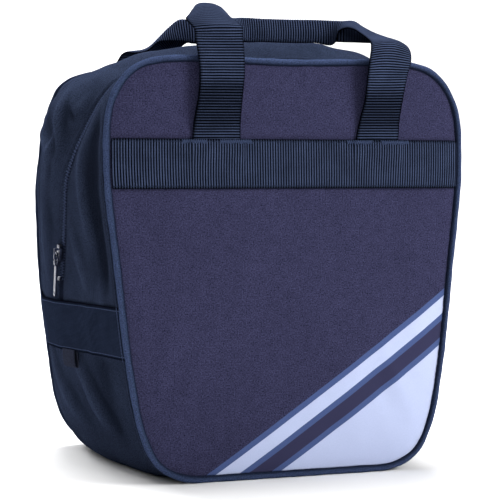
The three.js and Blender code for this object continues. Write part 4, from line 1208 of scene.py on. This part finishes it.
def foam_cup():
    n, prof = 96, [(34.6, 8.4), (60, 8.2), (64.6, 8.9), (65.6, 11.5), (64.2, 17), (61.4, 21.6), (57.4, 23.2), (53.4, 22.6), (47.5, 19.2), (41, 15), (36.2, 12.8), (34.2, 10.6)]
    pr = np.array(prof + prof[:1])
    k = np.concatenate([[0], np.cumsum(np.linalg.norm(np.diff(pr, axis=0), axis=1))])
    dp = hermite_np(k, pr, np.linspace(0, k[-1], 41))[:-1]
    th = np.arange(n) * 2 * np.pi / n
    R = dp[:, 0][None] + 0.25 * np.sin(th * 9)[:, None]
    V = np.stack([R * np.cos(th)[:, None], 2 + R * np.sin(th)[:, None], np.broadcast_to(dp[:, 1][None], R.shape) + FLOOR], -1)
    m = 40
    i = np.arange(n)[:, None]; j = np.arange(m)[None]
    F = np.stack([i * m + j, ((i + 1) % n) * m + j, ((i + 1) % n) * m + (j + 1) % m, i * m + (j + 1) % m], -1).reshape(-1, 4).tolist()
    UV = np.stack(np.broadcast_arrays(th[:, None] * 50, np.linspace(0, k[-1], m)[None]), -1).reshape(-1, 2)
    ob = make("ball_cup_foam", V.reshape(-1, 3), F, [MAT_CUP], None, UV)
    fix_out(ob)
    return ob


on(foam_cup(), "root", "foam", "ball_cup")


# ------------------------------------------------------------------ stitching
def stitch_line(P, N, pitch=3.0, length=2.3, lift=0.12):
    """Positions, directions and outward vectors for stitches along points P with normals N."""
    P = np.asarray(P, float); N = np.asarray(N, float)
    l = np.concatenate([[0], np.cumsum(np.linalg.norm(np.diff(P, axis=0), axis=1))])
    w = np.arange(pitch / 2, l[-1], pitch)
    Q = np.stack([np.interp(w, l, P[:, k]) for k in range(3)], -1)
    M_ = np.stack([np.interp(w, l, N[:, k]) for k in range(3)], -1)
    T = np.stack([np.interp(w + 0.5, l, P[:, k]) - np.interp(w - 0.5, l, P[:, k]) for k in range(3)], -1)
    return Q + M_ * lift, T, M_


def zip_topstitch(name, side):
    s = np.linspace(s_at_z(137, 1), s_at_z(137, -1), 900)
    y = zip_y(s) + side * 8.4
    dz = 8.4
    P = put(s, y, off(s, y) + gusset_detail(s, y) + 0.5)
    P2 = put(s, y, off(s, y) + gusset_detail(s, y) + 1.5)
    Q, T, M_ = stitch_line(P, P2 - P, 3.2, 2.4, 0.1)
    return beads(name, Q, T, 2.5, 0.36, [MAT_THREAD2], B=M_, flat=0.7)


flap(zip_topstitch("front_zip_stitching", -1), "webbing")
on(zip_topstitch("rear_zip_stitching", 1), "root", "webbing")


def grid_lines(G, N, cols, half=1.15, sgn=1, trim=0):
    """Stitch lines along the length of a webbing grid, at the given column positions (0..1)."""
    out = []
    nc = G.shape[1]
    for c in cols:
        f = c * (nc - 1); i = int(f); t = f - i
        i2 = min(i + 1, nc - 1)
        P = G[:, i] * (1 - t) + G[:, i2] * t
        M_ = (N[:, i] * (1 - t) + N[:, i2] * t) * sgn
        if trim:
            P, M_ = P[trim:-trim], M_[trim:-trim]
        out.append(stitch_line(P + M_ * half, M_, 3.2, 2.4, 0.0))
    return [np.vstack(x) for x in zip(*out)]


def out_sign(G, N, ref):
    c = G.shape[0] // 2, G.shape[1] // 2
    return 1 if np.dot(N[c], ref) > 0 else -1


Q, T, B_ = grid_lines(FB, FBN, (0.055, 0.945), 0.98, out_sign(FB, FBN, (0, -1, 0)))
on(beads("front_band_stitching", Q, T, 2.5, 0.34, [MAT_THREAD2], B=B_, flat=0.7), "front_flap", "webbing")
Q, T, B_ = grid_lines(RB, RBN, (0.055, 0.945), 0.98, out_sign(RB, RBN, (0, 1, 0)))
on(beads("rear_band_stitching", Q, T, 2.5, 0.34, [MAT_THREAD2], B=B_, flat=0.7), "root", "webbing")
for nm, G_, N_, ref in (("left", SBL, SBLN, (-1, 0, 0)), ("right", SBR, SBRN, (1, 0, 0))):
    Q, T, B_ = grid_lines(G_, N_, (0.06, 0.94), 0.98, out_sign(G_, N_, ref))
    # one upright row where the band meets the front seam
    sg = out_sign(G_, N_, ref)
    i = 10
    Qa, Ta, Ba = stitch_line(G_[i] + N_[i] * sg * 1.0, N_[i] * sg, 2.6, 2.2, 0.0)
    on(beads("side_band_%s_stitching" % nm, np.vstack([Q, Qa]), np.vstack([T, Ta]), 2.4, 0.34, [MAT_THREAD], B=np.vstack([B_, Ba]), flat=0.7), "root", "webbing")


def bartacks(name, face, sgn, centres, body):
    """Dense raised tacks across the top edge of a band, over each handle leg."""
    Qs, Ts, Bs = [], [], []
    for cx, wd in centres:
        x = np.arange(cx - wd / 2, cx + wd / 2, 0.85)
        z = BAND_TOP - 2.0 + 0 * x
        y = face(x, z, False) if face is front_face else face(x, z)
        P = np.stack([x, y + sgn * (2.25 + over_legs(x, FRONT_LEGS if sgn < 0 else REAR_LEGS)), z + FLOOR], -1)
        T = np.stack([0.35 * np.where(np.arange(len(x)) % 2, 1.0, -1.0), 0 * x, np.ones_like(x)], -1)
        Qs.append(P); Ts.append(T); Bs.append(np.tile([0, sgn, 0], (len(x), 1)))
    ob = beads(name, np.vstack(Qs), np.vstack(Ts), 3.6, 0.55, [MAT_TACK], B=np.vstack(Bs), flat=0.9)
    on(ob, body, "webbing")


bartacks("front_band_tacks", front_face, -1, ((-81, 18), (-47, 26), (57, 20), (88, 24)), "front_flap")
bartacks("rear_band_tacks", rear_face, 1, ((-82, 18), (-49, 24), (57, 22), (88, 20)), "root")


def grip_stitch(name, G, N, parent_body, ref):
    """Row along the lower edge of the folded grip, through both layers."""
    mid = len(G) // 2
    n = int(38 / 0.36)
    sl = slice(mid - n, mid + n)
    out = []
    for c in (2, G.shape[1] - 3):
        P = G[sl, c]; M_ = N[sl, c]
        # outward is away from the other layer
        other = G[sl, G.shape[1] - 1 - c]
        sg = np.sign(np.einsum("ij,ij->i", M_, P - other).mean())
        out.append(stitch_line(P + M_ * sg * 1.05, M_ * sg, 3.2, 2.4, 0.0))
    Q, T, B_ = [np.vstack(x) for x in zip(*out)]
    on(beads(name, Q, T, 2.4, 0.34, [MAT_THREAD2], B=B_, flat=0.7), parent_body, "webbing")


grip_stitch("front_grip_stitching", HG, HN, "front_handle", None)
grip_stitch("rear_grip_stitching", RG, RN, "rear_handle", None)


# ------------------------------------------------------------------ stage, light, camera
def stage():
    n = 40
    prof = [(-3.0, 0.0)] + [(2.2, 0.0)] + [(2.2 + 1.2 * math.sin(a), 1.2 - 1.2 * math.cos(a)) for a in np.linspace(0.05, math.pi / 2, 24)] + [(3.4, 4.0)]
    V, F = [], []
    for x in (-6.0, 6.0):
        for y, z in prof:
            V.append((x, y, z))
    m = len(prof)
    for j in range(m - 1):
        F.append((j, m + j, m + j + 1, j + 1))
    me = bpy.data.meshes.new("stage_floor")
    me.from_pydata(V, [], F)
    ob = bpy.data.objects.new("stage_floor", me)
    bpy.context.scene.collection.objects.link(ob)
    M = Mat("stage_paper")
    M.set(Base_Color=(0.72, 0.72, 0.725, 1), Roughness=0.9, Specular_IOR_Level=0.0)
    me.materials.append(M.m)
    for p in me.polygons:
        p.use_smooth = True


stage()
w = bpy.data.worlds.new("soft_white")
bpy.context.scene.world = w
w.use_nodes = True
w.node_tree.nodes["Background"].inputs[0].default_value = (0.95, 0.97, 1.0, 1)
w.node_tree.nodes["Background"].inputs[1].default_value = 0.16


def area(name, loc, target, size, power, col=(1, 1, 1)):
    L = bpy.data.lights.new(name, "AREA")
    L.shape = "RECTANGLE"; L.size, L.size_y = size
    L.energy = power; L.color = col
    o = bpy.data.objects.new(name, L)
    bpy.context.scene.collection.objects.link(o)
    o.location = loc
    o.rotation_euler = (Vector(target) - Vector(loc)).to_track_quat("-Z", "Y").to_euler()
    return o


area("key_right", (1.35, -1.3, 1.15), (0, 0, 0.2), (1.0, 1.0), 50)
area("top_soft", (0.1, 0.35, 1.9), (0, 0, 0.25), (1.0, 1.0), 58)
area("rim_left", (-0.6, 2.1, 1.2), (-0.1, 0, 0.22), (0.7, 0.7), 56)
area("side_soft", (-2.0, 1.0, 1.2), (-0.1, 0, 0.25), (0.8, 0.8), 6)
area("front_fill", (-0.6, -2.1, 0.9), (0, 0, 0.18), (0.6, 0.6), 9)
area("backdrop_light", (0, 1.5, 2.6), (0, 3.3, 0.9), (3.4, 1.0), 150)
area("floor_light", (0, 1.2, 2.4), (0, 2.2, 0.0), (3.0, 1.0), 30)

az, el, dist = math.radians(-21.9), math.radians(2.4), 1.551
target = Vector((0.0109, 0, 0.1701 + FLOOR * MM))
cam_d = bpy.data.cameras.new("photo_camera")
cam = bpy.data.objects.new("photo_camera", cam_d)
bpy.context.scene.collection.objects.link(cam)
cam.location = target + Vector((math.sin(az) * math.cos(el), -math.cos(az) * math.cos(el), math.sin(el))) * dist
cam.rotation_euler = (target - cam.location).to_track_quat("-Z", "Y").to_euler()
cam_d.sensor_width = 36; cam_d.lens = 1856 * 36 / 500; cam_d.clip_start = 0.05; cam_d.clip_end = 50
bpy.context.scene.camera = cam
bpy.context.scene.view_settings.view_transform = "Standard"
bpy.context.scene.view_settings.look = "None"
